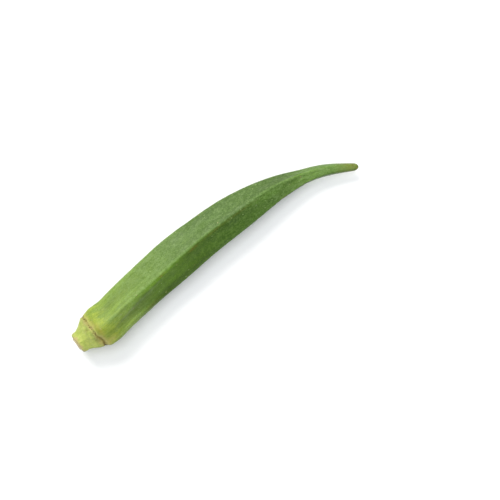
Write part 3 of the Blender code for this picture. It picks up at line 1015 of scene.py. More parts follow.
def face_shades(side):
    """The painted shade and light of each point, one number for each colour: its face's painted
    shade along the pod, blended into that of the next face within the shade edge of the ridge
    between them, the painted highlight along each ridge, the painted light on the ridge's base, the
    painted light and shade on the cords and middles of the faces, the painted shade and light at
    the edges of the pod, and the painted shade tint of the lower face."""
    along, arcs = side.along, side.arcs
    nearest = np.floor(side.angles * FACES / TURN + 0.5).astype(int)
    past_ridge = ramp(-SHADE_EDGE, SHADE_EDGE, arcs)

    def across_ridge(values):
        """Values by row and face, each blended into those of the next face at the ridge."""
        before, after = values[:, (nearest - 1) % FACES], values[:, nearest % FACES]
        return before + (after - before) * past_ridge

    line = bell(arcs - CREST_OFFSET, CREST_HALF_WIDTH * read_table(LINE_WIDTHS, along)[0])
    crest_light = read_table(CREST_LIGHTS, along)[0] * ramp(*CREST_STARTS, along)
    strength, middle, half_width = read_table(BASE_LIGHTS, along)
    base = bell(arcs + middle * MM, half_width * MM) * np.where(nearest % FACES == 0, 1, BASE_SHARE)
    by_face = across_ridge(np.concatenate(read_table(FACE_SHADES, along), axis=1))
    shades = by_face * (1 + crest_light * line) * (1 + strength * base)
    strength, middle, half_width = read_table(CORD_LIGHTS, along)
    shades = shades * (1 + strength * bell(arcs - middle * MM, half_width * MM))
    strength, half_width = read_table(MIDDLE_LIGHTS, along)
    shades = shades * (1 + strength * bell(np.abs(from_ridge(side.angles)) - 0.5, half_width))
    sideways = -np.sin(side.turned) * np.hypot(side.straight[..., 1], side.straight[..., 2])
    sideways = sideways / read_table(HALF_WIDTHS, along, MM)[0]
    shades = shades * (1 - read_table(EDGE_SHADES, along)[0] * ramp(*EDGE_REACH, sideways))
    shades = shades * (1 + read_table(RIM_LIGHTS, along)[0] * ramp(*RIM_REACH, -sideways))
    is_lower = np.tile(np.arange(FACES) == FACES - 1, (len(along), 1)).astype(float)
    shade_tints = np.stack(read_table(LOWER_SHADE_TINTS, along), axis=-1)
    return shades[..., None] * (1 + across_ridge(is_lower)[..., None] * (shade_tints - 1))


def blots(side, about, rows):
    """The sum of blots on the skin, each a bell along the pod times a bell across it. A row holds
    the distance, the angle, the offset from it, half length, half width and strength."""
    radii = np.hypot(side.straight[..., 1], side.straight[..., 2])
    total = np.zeros(radii.shape)
    for at, angle, offset, half_length, half_width, strength in rows:
        turn = (about - angle + np.pi) % TURN - np.pi
        across = bell(turn * radii - offset * MM, half_width * MM)
        total += strength * bell(side.along - at * MM, half_length * MM) * across
    return np.clip(total, 0, 1)


def band_quads(rows, around, closed=True):
    """The corners of the quads between rows of points that follow each other."""
    here = np.arange(rows - 1)[:, None] * around
    column = np.arange(around if closed else around - 1)
    beside = (column + 1) % around
    corners = (here + column, here + around + column, here + around + beside, here + beside)
    return np.stack(corners, axis=-1).reshape(-1, 4)


def pod_fans(rows, around):
    """The corners of the fans on the cut and on the tip, whose poles are the last two points."""
    column = np.arange(around)
    beside = (column + 1) % around
    cut_pole, tip_pole, last = rows * around, rows * around + 1, (rows - 1) * around
    cut_fan = np.column_stack((np.full(around, cut_pole), column, beside))
    tip_fan = np.column_stack((last + column, np.full(around, tip_pole), last + beside))
    return np.concatenate((cut_fan, tip_fan))


def make_pod(settings):
    """Builds the fine surface of the whole pod, with its finishes and what they read."""
    side = pod_side(settings)
    rings, shares, cut_pole = cut_face(side, settings)
    ring_count, around = rings.shape[:2]
    rows = ring_count + len(side.along)
    points = np.concatenate((rings, side.points)).reshape(-1, 3)
    points = keep_in_box(np.concatenate((points, (cut_pole, side.tip))))
    makers = (cut_stem_material, cap_skin_material, calyx_scar_material, pod_skin_material)
    cut, pod = 0, len(makers) - 1
    by_row = (np.full(ring_count, cut), 1 + np.digitize(side.along[:-1, 0], SCAR_ZONE))
    by_row = np.repeat(np.concatenate(by_row), around)
    skins = np.concatenate((by_row, np.full(around, cut), np.full(around, pod)))
    faces = (band_quads(rows, around), pod_fans(rows, around))
    mesh = fill_mesh("okra_pod_skin", points, faces, [make(settings) for make in makers], skins)

    def with_cut(values, on_rings=0.0, on_cut_pole=0.0, on_tip=0.0):
        """A number for every point, from those of the side, the rings and the two poles."""
        on_rings = np.broadcast_to(on_rings, (ring_count, around))
        return np.concatenate((on_rings.ravel(), values.ravel(), [on_cut_pole, on_tip]))

    poles = [(0, 0, 0), (side.along[-1, 0], 0, 0)]
    on_cut = (shares[..., None] * side.straight[0]).reshape(-1, 3)
    straight = np.concatenate((on_cut, side.straight.reshape(-1, 3), poles))
    along = np.broadcast_to(side.along, side.arcs.shape) / MM
    # The paler line along each ridge, which also stands as a painted highlight
    fading = 1 - CREST_FADES_BY * ramp(*CREST_FADES, along)
    crest = bell(side.arcs, settings.crest_half_width) * ramp(*CREST_PALES, along) * fading
    scuffs = [(at, TURN * ridge / FACES, *rest) for at, ridge, *rest in SCUFFS]
    store(mesh, "straight", straight / MM, *VECTOR)
    store(mesh, "along", with_cut(along, on_tip=along[-1, 0]))
    store(mesh, "crest", with_cut(crest))
    store(mesh, "scuff", with_cut(blots(side, side.angles, scuffs)))
    # The painted shade and light of each face, one number for each colour
    shades = [with_cut(part, 1.0, 1.0, 1.0) for part in np.moveaxis(face_shades(side), 2, 0)]
    store(mesh, "shade", np.stack(shades, -1), *VECTOR)
    for kind in MARK_KINDS:
        rows = [(at, np.radians(turn), 0.0, *rest) for at, turn, *rest, own in MARKS if own == kind]
        store(mesh, "mark_" + kind, with_cut(blots(side, side.turned, rows)))
    before, from_scar = -SCAR_AT / MM, along - SCAR_AT / MM
    store(mesh, "from_scar", with_cut(from_scar, before, before, FAR_FROM_SCAR))
    store(mesh, "wear", with_cut(about_scar(SCAR_WEARS, side.turned)))
    store(mesh, "cut_share", with_cut(np.ones(along.shape), shares, on_tip=1.0))
    piece = show(mesh, "okra_pod_skin")
    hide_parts("okra_pod")


def surface_spots(side, weights, count, random):
    """Chooses random spots on the side: a cell of the grid by its weight times its area, and a
    point inside it that blends the cell's corners. Returns the points, the normals and the
    headings along the pod there."""
    step_along = side.points[1:] - side.points[:-1]
    step_round = (np.roll(side.points, -1, axis=1) - side.points)[:-1]
    area = np.linalg.norm(np.cross(step_along, step_round), axis=2)
    chance = (area * weights[:-1]).ravel()
    cell = random.choice(len(chance), size=count, p=chance / chance.sum())
    around = side.points.shape[1]
    row, column = np.divmod(cell, around)
    beside = (column + 1) % around
    ahead_share, side_share = random.random((2, count, 1))

    def blended(grid):
        """The grid's values at the spots, blended from the four corners of their cells."""
        near = grid[row, column] * (1 - side_share) + grid[row, beside] * side_share
        far = grid[row + 1, column] * (1 - side_share) + grid[row + 1, beside] * side_share
        return near * (1 - ahead_share) + far * ahead_share

    return blended(side.points), unit(blended(side.normals)), unit(step_along[row, column])


def turned_about(angles, first, second):
    """The direction that is turned by each angle from the first towards the second."""
    return np.cos(angles)[:, None] * first + np.sin(angles)[:, None] * second


def hair_points(roots, normals, headings, lengths, radii, leans, turns, bends):
    """Closed three-sided tapered hairs, as seven points each: a ring at the root, a thinner ring at
    the knee, and the tip. A hair leaves the skin at its lean from the normal, towards its turn
    about it from the heading, and bends on by its bend at the knee."""
    towards = turned_about(turns, headings, np.cross(normals, headings))
    towards = unit(towards - (towards * normals).sum(1, keepdims=True) * normals)
    first = turned_about(leans, normals, towards)
    second = turned_about(leans + bends, normals, towards)
    base = roots - HAIR_ROOTING * lengths[:, None] * first
    knee = roots + HAIR_KNEE * lengths[:, None] * first
    tip = knee + HAIR_REST * lengths[:, None] * second
    other = unit(np.cross(first, towards))
    inward = np.cross(first, other)
    corner = (TURN * np.arange(3) / 3)[:, None]
    ring = np.cos(corner) * other[:, None] + np.sin(corner) * inward[:, None]
    ring = radii[:, None, None] * ring
    rings = (base[:, None] + ring, knee[:, None] + HAIR_KNEE_THICK * ring, tip[:, None])
    return np.concatenate(rings, axis=1)


def show_copies(name, points, clear, faces, material, random, heights=None):
    """Makes one piece of many copies of one small shape, whose points follow each other. It keeps
    those inside the part's box that stay clear of what the pod lies on, and gives each a tint."""
    above = BOX_LOW + (0, 0, clear)
    points = points[((points >= above) & (points <= BOX_HIGH)).all(axis=(1, 2))]
    copies, points_each = points.shape[:2]
    first = points_each * np.arange(copies)[:, None, None]
    corners = [(part[None] + first).reshape(-1, part.shape[1]) for part in faces]
    mesh = fill_mesh(name, points.reshape(-1, 3), corners, (material,))
    if heights is not None:
        store(mesh, "up_hair", np.broadcast_to(heights, (copies, points_each)))
    store(mesh, "tint", np.repeat(random.random(copies), points_each))
    show(mesh, name)


def tinted(net, settings):
    """A colour from dark to pale by the tint of each copy."""
    return net.blend(net.read("tint"), settings.dark_colour, settings.pale_colour)


def down_material(settings):
    """The down: pale at the tips and greener at the roots, a little different from hair to hair."""
    material, net = new_material("okra down", 0.55, specular=0.4, place=None)
    colour = net.blend(net.read("up_hair"), settings.root_colour, settings.hair_colour)
    net.feed(Base_Color=net.lay(colour, net.read("tint"), 0.45, settings.old_hair_colour))
    return material


def make_down(pod, settings):
    """Builds the down in two pieces: on the pod, thicker along its ridges, and on the cap."""
    side = side_with_normals(pod)
    crest = bell(side.arcs, DOWN_RIDGE)
    material = down_material(settings)
    on_pod = ramp(*DOWN_STARTS, side.along) * (1 + settings.ridge_extra * crest)
    on_cap = ramp(*CAP_DOWN_STARTS, side.along) * (1 - ramp(*CAP_DOWN_ENDS, side.along))
    on_cap = on_cap * np.ones_like(crest)
    for name, slot, weights, count, longer in (
        ("pod_down", "pod_skin", on_pod, settings.pod_count, 1.0),
        ("cap_down", "cap_skin", on_cap, settings.cap_count, CAP_DOWN_LENGTH),
    ):
        random = np.random.default_rng(SEEDS[name])
        spots = surface_spots(side, weights, count, random)
        lengths = settings.length * longer * random.uniform(*HAIR_LENGTHS, count)
        radii = settings.radius * random.uniform(*HAIR_RADII, count)
        leans = np.radians(random.uniform(*HAIR_LEANS, count))
        turns = random.normal(0, HAIR_TURNS, count)
        bends = np.radians(random.uniform(*HAIR_BENDS, count))
        points = hair_points(*spots, lengths, radii, leans, turns, bends)
        show_copies(name, points, HAIR_CLEAR, (HAIR_CORNERS,), material, random, HAIR_HEIGHTS)


def scrap_points(roots, normals, headings, lengths, widths, curls, thick):
    """Closed curled scraps: a strip whose middle line leaves the skin along the heading and curls
    away from it as an arc, narrowing as the root of what is left, with a lower and an upper face
    that meet at the edges. Returns the points of each scrap: the upper grid, then the lower."""
    sideways = np.cross(normals, headings)
    share = np.linspace(0, 1, SCRAP_STEPS)
    offset = np.linspace(-1, 1, SCRAP_ACROSS)
    angle = curls[:, None] * share
    run = lengths[:, None] * np.cumsum(np.cos(angle), axis=1) / SCRAP_STEPS
    rise = lengths[:, None] * np.cumsum(np.sin(angle), axis=1) / SCRAP_STEPS
    half = widths[:, None] / 2 * np.sqrt(1.02 - share**2)
    line = roots[:, None] + run[..., None] * headings[:, None] + rise[..., None] * normals[:, None]
    grid = line[:, :, None] + half[..., None, None] * offset[:, None] * sideways[:, None, None]
    bow = thick * (1 - offset**2)[:, None] * (1 - 0.8 * share[:, None, None])
    out = bow * normals[:, None, None]
    shape = (len(roots), -1, 3)
    return np.concatenate(((grid + out).reshape(shape), (grid - out).reshape(shape)), axis=1)


def scrap_corners():
    """The corners of one scrap: quads on its upper and lower face that share the long edges, and a
    strip that closes each end. The upper grid's points come first."""
    steps, across = SCRAP_STEPS, SCRAP_ACROSS
    count = steps * across
    upper = band_quads(steps, across, closed=False)
    edge = np.arange(steps - 1) * across
    far = edge + across - 1
    ends = np.arange(across - 1)
    tip = (steps - 1) * across + ends
    strips = (
        (edge, edge + count, edge + across + count, edge + across),
        (far, far + across, far + across + count, far + count),
        (ends, ends + 1, ends + 1 + count, ends + count),
        (tip, tip + count, tip + 1 + count, tip + 1),
    )
    return np.concatenate((upper, upper[:, ::-1] + count, *map(np.column_stack, strips)))


def make_scraps(pod, settings):
    """Builds the scraps of dried calyx that are left along the scar, thickest at the ridges."""
    random = np.random.default_rng(SEEDS["calyx_scraps"])
    side = side_with_normals(pod)
    count = settings.count
    near_scar = bell(side.along - SCAR_AT - SCRAPS_PAST_SCAR, SCRAPS_WITHIN)
    weights = near_scar * (SCRAPS_LEAST + at_ridges(side.angles))
    roots, normals, heading = surface_spots(side, weights, count, random)
    turn = random.normal(0, SCRAP_TURNS, count) + np.pi * (random.random(count) < 0.5)
    heading = turned_about(turn, heading, np.cross(normals, heading))
    lengths = settings.length * random.uniform(*SCRAP_LENGTHS, count)
    widths = settings.length * random.uniform(*SCRAP_WIDTHS, count)
    curls = np.radians(random.uniform(*SCRAP_CURLS, count))
    roots = roots - SCRAP_ROOTING * normals - SCRAP_BACK * lengths[:, None] * heading
    points = scrap_points(roots, normals, heading, lengths, widths, curls, settings.thickness)
    faces, material = (scrap_corners(),), scrap_material(settings)
    show_copies("calyx_scraps", points, PIECE_CLEAR, faces, material, random)


def scrap_material(settings):
    """Dried calyx: brown to tan from scrap to scrap, with fine fibres."""
    material, net = new_material("okra calyx scraps", 0.85)
    fibres = net.patches(0.12, 5.0, 0.4, 0.6)
    net.feed(Base_Color=net.lay(tinted(net, settings), fibres, 0.4, settings.dark_colour))
    net.bump(net.patches(0.10, 5.0, *STREAKS), 0.03 * MM)
    return material


def make_fibres(pod, settings):
    """Builds the stubs of torn fibre on the cut: short tapered hairs in a ring, at the bundles."""
    random = np.random.default_rng(SEEDS["cut_fibres"])
    side = pod_side(pod)
    rings, shares, _ = cut_face(side, pod)
    count, ring_at = settings.count, BUNDLE_RING[0]
    bundle = TURN * random.integers(0, pod.fibre_bundles, count) / pod.fibre_bundles
    turn = (bundle + random.normal(0, FIBRE_TURNS, count)) % TURN
    share = np.clip(random.normal(ring_at, FIBRE_SPREAD, count), *FIBRE_LIMITS)
    column = np.clip(np.searchsorted(side.angles, turn), 0, len(side.angles) - 1)
    ring = np.clip(np.searchsorted(shares[:, 0], share), 0, len(shares) - 1)
    out = np.tile(-side.ahead, (count, 1))
    upwards = unit(np.tile(np.cross(np.cross(side.ahead, (0, 0, 1)), side.ahead), (count, 1)))
    lengths = settings.length * random.uniform(*FIBRE_LENGTHS, count)
    radii = settings.radius * random.uniform(*FIBRE_RADII, count)
    leans = np.radians(random.uniform(*FIBRE_LEANS, count))
    turns = random.uniform(0, TURN, count)
    spots = (rings[ring, column], out, upwards)
    points = hair_points(*spots, lengths, radii, leans, turns, leans * FIBRE_BEND)
    material, net = new_material("okra cut fibres", 0.75, place=None)
    net.feed(Base_Color=tinted(net, settings))
    show_copies("cut_fibres", points, PIECE_CLEAR, (HAIR_CORNERS,), material, random)


def speck_shape():
    """One low dome of unit radius: rings at the foot, under it, and at two heights. Returns the
    points (across, along, out) and the corners of its quads and its two fans."""
    turn = TURN * np.arange(SPECK_SIDES) / SPECK_SIDES
    circle = np.column_stack((np.cos(turn), np.sin(turn), np.ones(SPECK_SIDES)))
    rings = [circle * (radius, radius, height) for radius, height in SPECK_LEVELS]
    points = np.concatenate([*rings, [(0, 0, SPECK_TOP), (0, 0, SPECK_FOOT)]])
    quads = band_quads(len(SPECK_LEVELS), SPECK_SIDES)[:, (0, 3, 2, 1)]
    column = np.arange(SPECK_SIDES)
    beside = (column + 1) % SPECK_SIDES
    last = (len(SPECK_LEVELS) - 1) * SPECK_SIDES
    top_fan = np.column_stack((last + column, last + beside, np.full(SPECK_SIDES, len(points) - 2)))
    foot_fan = np.column_stack((beside, column, np.full(SPECK_SIDES, len(points) - 1)))
    return points, (quads, np.concatenate((top_fan, foot_fan)))


def make_specks(pod, settings):
    """Builds the corky specks: low domes scattered on the pod, more of them near the ridges."""
    random = np.random.default_rng(SEEDS["corky_specks"])
    side = side_with_normals(pod)
    count = settings.count
    on_body = ramp(*SPECKS_START, side.along) * (1 - ramp(*SPECKS_FADE, side.along))
    weights = on_body * (SPECKS_LEAST + bell(side.arcs, SPECKS_RIDGE))
    roots, normals, heading = surface_spots(side, weights, count, random)
    size = settings.radius * random.uniform(*SPECK_SIZES, count)
    longer = random.uniform(*SPECK_STRETCHES, count)
    shape, faces = speck_shape()
    across, along, out = shape.T[..., None]
    size, longer = size[:, None, None], longer[:, None, None]
    points = (
        roots[:, None]
        + size * across * np.cross(normals, heading)[:, None]
        + size * longer * along * heading[:, None]
        + settings.height * size / settings.radius * out * normals[:, None]
    )
    material = speck_material(settings)
    show_copies("corky_specks", points, PIECE_CLEAR, faces, material, random)


def speck_material(settings):
    """Corky specks, from the skin's green to tan and grey-brown."""
    material, net = new_material("okra corky specks", 0.8)
    green, tan, brown = settings.green_colour, settings.tan_colour, settings.brown_colour
    stops = ((0.0, green), (0.55, green), (0.8, tan), (1.0, brown))
    colour = net.along_stops(net.read("tint"), stops)
    net.feed(Base_Color=net.lay(colour, net.patches(0.15, 1.0, 0.4, 0.6), 0.3, tan))
    return material


def floor_material(settings):
    """A plain pale floor with a very faint unevenness."""
    material, net = new_material("pale floor", 0.9, specular=0.2, place=None)
    noise = net.noise(net.node("TexCoord")["Object"], 40.0, 2.0)
    net.feed(Base_Color=net.lay(settings.floor_colour, noise, 0.02, FLOOR_STAIN))
    return material


def add_area_light(name, direction, distance, size, power, colour):
    """A square soft light in a direction of the picture, turned to face its aim."""
    data = bpy.data.lights.new(name, "AREA")
    data.shape, data.size, data.energy, data.color = "SQUARE", size, power, colour
    lamp = bpy.data.objects.new(name, data)
    lamp.location = picture_direction(*direction) * distance
    facing = lamp.location - type(lamp.location)(LIGHT_AIM)
    lamp.rotation_euler = facing.to_track_quat("Z", "Y").to_euler()
    bpy.context.scene.collection.objects.link(lamp)


def make_camera():
    """Looks straight down at the photograph's angle, with the pod slanting up to the right."""
    data = bpy.data.cameras.new("camera")
    data.lens, data.sensor_width, data.clip_start = LENS, SENSOR, 0.01
    camera = bpy.data.objects.new("camera", data)
    x, y, z = VIEW_CENTRE
    camera.location = (x, y, z + VIEW_WIDTH * LENS / SENSOR)
    camera.rotation_euler = (0, 0, np.radians(VIEW_TURN))
    bpy.context.scene.collection.objects.link(camera)
    bpy.context.scene.camera = camera


def picture_direction(right, up, height):
    """A direction in the frame from one in the picture: right, up and towards the viewer."""
    turn = np.radians(VIEW_TURN)
    x_axis = np.array((np.cos(turn), np.sin(turn), 0))
    y_axis = np.array((-np.sin(turn), np.cos(turn), 0))
    return unit(right * x_axis + up * y_axis + height * np.array((0, 0, 1)))


def make_stage(settings):
    """Makes the floor, the world, the lights and the camera."""
    scene = bpy.context.scene
    reach = settings.floor_size / 2
    points = np.array(((-reach, -reach), (reach, -reach), (reach, reach), (-reach, reach)))
    points = np.column_stack((points, np.full(4, -FLOOR_DROP)))
    mesh = fill_mesh("floor", points, (np.array(((0, 1, 2, 3),)),), (floor_material(settings),))
    floor = bpy.data.objects.new("floor", mesh)
    scene.collection.objects.link(floor)
    scene.view_settings.view_transform = "Standard"
    world = bpy.data.worlds.new("soft room")
    world.use_nodes = True
    net = Net(world.node_tree)
    background = net.tree.nodes["Background"]
    background.inputs["Color"].default_value = as_colour(settings.room_colour)
    seen = net.node("LightPath")["Is Camera Ray"]
    strength = net.add(seen, 1 - settings.room_light, settings.room_light)
    net.tree.links.new(strength, background.inputs["Strength"])
    scene.world = world
    for name, direction, distance, size in LIGHTS:
        power, colour = getattr(settings, name + "_power"), getattr(settings, name + "_colour")
        add_area_light(name + " light", direction, distance, size, power, colour)
    make_camera()


def a_number(name, description, default, **limits):
    """A number that is not negative."""
    return FloatProperty(name=name, description=description, default=default, min=0.0, **limits)


def a_length(name, description, millimetres):
    """A size, given in millimetres and kept in metres."""
    return a_number(name, description, millimetres * MM, unit="LENGTH", precision=6)


def a_share(name, description, default):
    """A share between 0 and 1."""
    return a_number(name, description, default, max=1.0, subtype="FACTOR")


def a_power(name, description, default):
    """The power of a light in watts."""
    return a_number(name, description, default, unit="POWER")


def a_colour(name, description, default):
    """A colour of three numbers."""
    choices = {"size": 3, "min": 0.0, "max": 1.0, "subtype": "COLOR"}
    return FloatVectorProperty(name=name, description=description, default=default, **choices)


def a_count(name, description, default):
    """A whole number of things."""
    return IntProperty(name=name, description=description, default=default, min=1)


class OkraPodSettings(bpy.types.PropertyGroup):
    """Sizes and colours of the pod's surface."""

    points_a_face: a_count("Points a face", "Points round each of the five faces", 28)
    rim_rows: a_count("Rim rows", "Rows in the rounding of the cut's rim", 6)
    tip_rows: a_count("Tip rows", "Rows in the rounding of the tip", 14)
    cut_rings: a_count("Cut rings", "Rings on the face of the cut", 26)
    cap_gap: a_length("Cap row gap", "Gap between rows of points on the cap", 0.13)
    scar_gap: a_length("Scar row gap", "Gap between rows of points on the scar", 0.055)
    shoulder_gap: a_length("Shoulder row gap", "Gap between rows on the shoulder", 0.14)
    body_gap: a_length("Body row gap", "Gap between rows of points on the body", 0.25)
    valley_depth: a_share("Valley depth", "How much the faces sink beside the ridges' bases", 1.0)
    swelling: a_length("Swelling", "Height of the slow swellings of the skin", 0.035)
    dimple: a_length("Dimple", "Height of the short dimples of the skin", 0.012)
    cord: a_length("Cord", "Height of the fine lengthwise cords", 0.012)
    seam: a_length("Seam", "Depth of the seam along the middle of a face", 0.05)
    tip_vein: a_length("Tip vein", "Height of the vein along each face near the tip", 0.07)
    wrinkle: a_length("Wrinkle", "Height of the cap's wrinkles", 0.05)
    scar_lip: a_length("Scar lip", "Height of the lips beside the scar", 0.10)
    scar_extra: a_length("Scar depth", "How much deeper the scar is than in the part", 0.14)
    scar_chip: a_length("Scar chips", "Height of the chips about the scar", 0.035)
    scar_fill: a_length("Scar fill", "How far the groove fills where it is least worn", 0.34)
    pith_depth: a_length("Pith depth", "How far the pith of the cut sinks", 0.30)
    fibre_bundles: a_count("Fibre bundles", "Bundles of fibre round the cut", 26)
    # The pale line on a ridge also stands as a painted highlight
    crest_half_width: a_length("Crest half width", "Half width of the pale line on a ridge", 0.6)
    grain_depth: a_length("Grain depth", "Depth of the finest grain of the skin", 0.035)
    skin_roughness: a_share("Skin roughness", "Roughness of the pod's skin", 0.45)
    skin_sheen: a_share("Skin sheen", "How much the down too fine to model lights the edges", 0.04)
    cap_roughness: a_share("Cap roughness", "Roughness of the cap's skin", 0.55)
    shoulder_colour: a_colour("Shoulder", "Yellow-green beside the scar", (0.290, 0.350, 0.045))
    stem_colour: a_colour("Stem", "Green past the shoulder", (0.198, 0.268, 0.046))
    quarter_colour: a_colour("Quarter", "Green of the stem quarter", (0.168, 0.250, 0.052))
    middle_colour: a_colour("Middle", "Green of the middle", (0.120, 0.199, 0.041))
    far_colour: a_colour("Far", "Green towards the tip", (0.079, 0.147, 0.024))
    beak_colour: a_colour("Beak", "Green before the tip", (0.114, 0.204, 0.034))
    tip_colour: a_colour("Tip", "Olive of the tip", (0.178, 0.222, 0.036))
    tip_dot: a_colour("Tip dots", "Orange-brown dots at the tip", (0.42, 0.17, 0.03))
    pale_mottle: a_colour("Pale mottle", "Paler patches of the skin", (0.19, 0.29, 0.095))
    dark_tint: a_colour("Dark tint", "Tint of the darker patches of the skin", (0.74, 0.80, 0.66))
    olive_mark: a_colour("Olive mark", "Olive patches beside the scar", (0.285, 0.265, 0.040))
    green_mark: a_colour("Green mark", "Deep green patches beside the scar", (0.12, 0.18, 0.020))
    brown_mark: a_colour("Brown mark", "Brown blots beside the scar", (0.14, 0.11, 0.025))
    pink_mark: a_colour("Pink mark", "Pinkish tan blots beside the scar", (0.38, 0.30, 0.12))
    straw_mark: a_colour("Straw mark", "Dried straw patches beside the cut", (0.44, 0.34, 0.15))
    tan_mark: a_colour("Tan mark", "Tan streak beside the scar", (0.36, 0.31, 0.085))
    scuff_colour: a_colour("Scuff", "Reddish brown scuffs", (0.20, 0.13, 0.035))
    pale_speck: a_colour("Pale speck", "Small greyish specks", (0.36, 0.38, 0.26))
    cap_colour: a_colour("Cap", "Pale yellow-green of the cap", (0.42, 0.475, 0.103))
    cap_green: a_colour("Cap green", "Greener patches of the cap", (0.27, 0.34, 0.065))
    cap_pale: a_colour("Cap pale", "Palest streaks of the cap", (0.46, 0.50, 0.17))
    cut_edge_colour: a_colour("Cut edge", "Tan edge of the cut", (0.46, 0.38, 0.16))
    margin_colour: a_colour("Scar margin", "Tan beside the scar", (0.44, 0.40, 0.14))
    scar_colour: a_colour("Scar", "Brown of the scar", (0.165, 0.138, 0.020))
    blot_colour: a_colour("Blot", "Dark blots on the scar", (0.105, 0.082, 0.014))
    pith_colour: a_colour("Pith", "Pale pith of the cut", (0.80, 0.74, 0.48))
    fibre_colour: a_colour("Fibre ring", "Straw of the ring of bundles", (0.72, 0.60, 0.32))
    rind_colour: a_colour("Rind", "Greenish rind of the cut", (0.82, 0.74, 0.40))
    rim_colour: a_colour("Rim", "Straw edge of the cut's face", (0.82, 0.69, 0.40))


class OkraDownSettings(bpy.types.PropertyGroup):
    """Sizes and colours of the down."""

    length: a_length("Length", "Length of a hair", 0.30)
    radius: a_length("Radius", "Radius of a hair at its root", 0.011)
    pod_count: a_count("Hairs on the pod", "Number of hairs on the pod", 17500)
    cap_count: a_count("Hairs on the cap", "Number of hairs on the cap", 2200)
    ridge_extra: a_number("Ridge extra", "Extra hairs along the ridges", 1.6)
    root_colour: a_colour("Root", "Colour of a hair at its root", (0.22, 0.34, 0.10))
    hair_colour: a_colour("Tip", "Colour of a hair at its tip", (0.55, 0.62, 0.40))
    old_hair_colour: a_colour("Old hair", "Colour of the drier hairs", (0.50, 0.46, 0.26))


class OkraScrapSettings(bpy.types.PropertyGroup):
    """Sizes and colours of the scraps of dried calyx."""

    length: a_length("Length", "Length of a scrap", 0.75)
    thickness: a_length("Thickness", "Half the thickness of a scrap", 0.05)
    count: a_count("Count", "Number of scraps along the scar", 70)
    dark_colour: a_colour("Dark", "Darker scraps", (0.13, 0.090, 0.022))
    pale_colour: a_colour("Pale", "Paler scraps", (0.34, 0.27, 0.10))


class OkraFibreSettings(bpy.types.PropertyGroup):
    """Sizes and colours of the stubs of fibre on the cut."""

    length: a_length("Length", "Length of a stub", 0.38)
    radius: a_length("Radius", "Radius of a stub at its root", 0.04)
    count: a_count("Count", "Number of stubs", 130)
    dark_colour: a_colour("Dark", "Darker stubs", (0.28, 0.20, 0.08))
    pale_colour: a_colour("Pale", "Paler stubs", (0.62, 0.55, 0.32))


class OkraSpeckSettings(bpy.types.PropertyGroup):
    """Sizes and colours of the corky specks."""

    radius: a_length("Radius", "Radius of a speck", 0.16)
    height: a_length("Height", "Height of a speck", 0.12)
    count: a_count("Count", "Number of specks", 170)
    green_colour: a_colour("Green", "Specks like the skin", (0.24, 0.36, 0.12))
    tan_colour: a_colour("Tan", "Tan specks", (0.32, 0.31, 0.13))
    brown_colour: a_colour("Brown", "Brown specks", (0.22, 0.13, 0.05))


class OkraStageSettings(bpy.types.PropertyGroup):
    """The floor and the studio light."""

    floor_size: a_length("Floor size", "Side of the square floor", 1600.0)
    floor_colour: a_colour("Floor", "Colour of the floor", (0.92, 0.92, 0.92))
    room_colour: a_colour("Room", "Colour of the room's soft light", (0.93, 0.96, 1.0))
    room_light: a_number("Room light", "Strength of the room's light", 0.12)
    key_power: a_power("Key light", "Power of the key light", 16.0)
    key_colour: a_colour("Key colour", "Colour of the key light", (1.0, 0.985, 0.96))
    top_power: a_power("Top light", "Power of the top light", 18.0)
    top_colour: a_colour("Top colour", "Colour of the top light", (0.96, 0.98, 1.0))


class OKRA_OT_add_pod(bpy.types.Operator):
    """Adds the pod's fine surface in place of the plain part"""

    bl_idname = "okra.add_pod"
    bl_label = "Pod"

    def execute(self, context):
        make_pod(context.scene.okra_pod)
        return {"FINISHED"}


class OKRA_OT_add_down(bpy.types.Operator):
    """Adds the down on the pod and on the cap"""

    bl_idname = "okra.add_down"
    bl_label = "Down"

    def execute(self, context):
        make_down(context.scene.okra_pod, context.scene.okra_down)
        return {"FINISHED"}


class OKRA_OT_add_scraps(bpy.types.Operator):
    """Adds the scraps of dried calyx along the scar"""

    bl_idname = "okra.add_scraps"
    bl_label = "Calyx scraps"

    def execute(self, context):
        make_scraps(context.scene.okra_pod, context.scene.okra_scraps)
        return {"FINISHED"}


class OKRA_OT_add_fibres(bpy.types.Operator):
    """Adds the stubs of fibre on the cut"""

    bl_idname = "okra.add_fibres"
    bl_label = "Cut fibres"

    def execute(self, context):
        make_fibres(context.scene.okra_pod, context.scene.okra_fibres)
        return {"FINISHED"}


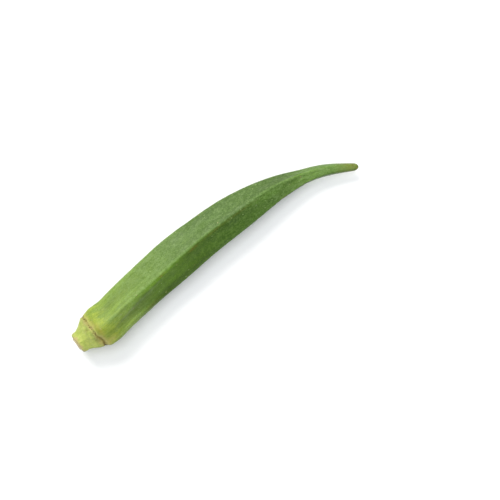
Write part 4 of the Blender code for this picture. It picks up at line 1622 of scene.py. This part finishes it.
class OKRA_OT_add_specks(bpy.types.Operator):
    """Adds the corky specks on the skin"""

    bl_idname = "okra.add_specks"
    bl_label = "Corky specks"

    def execute(self, context):
        make_specks(context.scene.okra_pod, context.scene.okra_specks)
        return {"FINISHED"}


class OKRA_OT_add_stage(bpy.types.Operator):
    """Adds the floor, the studio light and the camera"""

    bl_idname = "okra.add_stage"
    bl_label = "Stage"

    def execute(self, context):
        make_stage(context.scene.okra_stage)
        return {"FINISHED"}


class OKRA_PT_pieces(bpy.types.Panel):
    """Lists the operators and the settings of each"""

    bl_idname = "OKRA_PT_pieces"
    bl_label = "Okra pod"
    bl_space_type = "VIEW_3D"
    bl_region_type = "UI"
    bl_category = "Okra"

    def draw(self, context):
        for name, group, operator in PARTS:
            box = self.layout.box()
            box.operator(operator)
            settings = getattr(context.scene, name)
            for setting in group.__annotations__:
                box.prop(settings, setting)


PARTS = (
    ("okra_pod", OkraPodSettings, "okra.add_pod"),
    ("okra_down", OkraDownSettings, "okra.add_down"),
    ("okra_scraps", OkraScrapSettings, "okra.add_scraps"),
    ("okra_fibres", OkraFibreSettings, "okra.add_fibres"),
    ("okra_specks", OkraSpeckSettings, "okra.add_specks"),
    ("okra_stage", OkraStageSettings, "okra.add_stage"),
)

CLASSES = (
    *(group for _, group, _ in PARTS),
    OKRA_OT_add_pod,
    OKRA_OT_add_down,
    OKRA_OT_add_scraps,
    OKRA_OT_add_fibres,
    OKRA_OT_add_specks,
    OKRA_OT_add_stage,
    OKRA_PT_pieces,
)


def register():
    """Registers the classes and hangs the settings on the scene."""
    for made in CLASSES:
        bpy.utils.register_class(made)
    for name, group, _ in PARTS:
        setattr(bpy.types.Scene, name, PointerProperty(type=group))


def unregister():
    """Takes the settings and the classes away again."""
    for name, _, _ in PARTS:
        delattr(bpy.types.Scene, name)
    for made in reversed(CLASSES):
        bpy.utils.unregister_class(made)


def main():
    """Makes every piece and the stage."""
    register()
    bpy.ops.okra.add_pod()
    bpy.ops.okra.add_down()
    bpy.ops.okra.add_scraps()
    bpy.ops.okra.add_fibres()
    bpy.ops.okra.add_specks()
    bpy.ops.okra.add_stage()


if __name__ == "__main__":
    main()
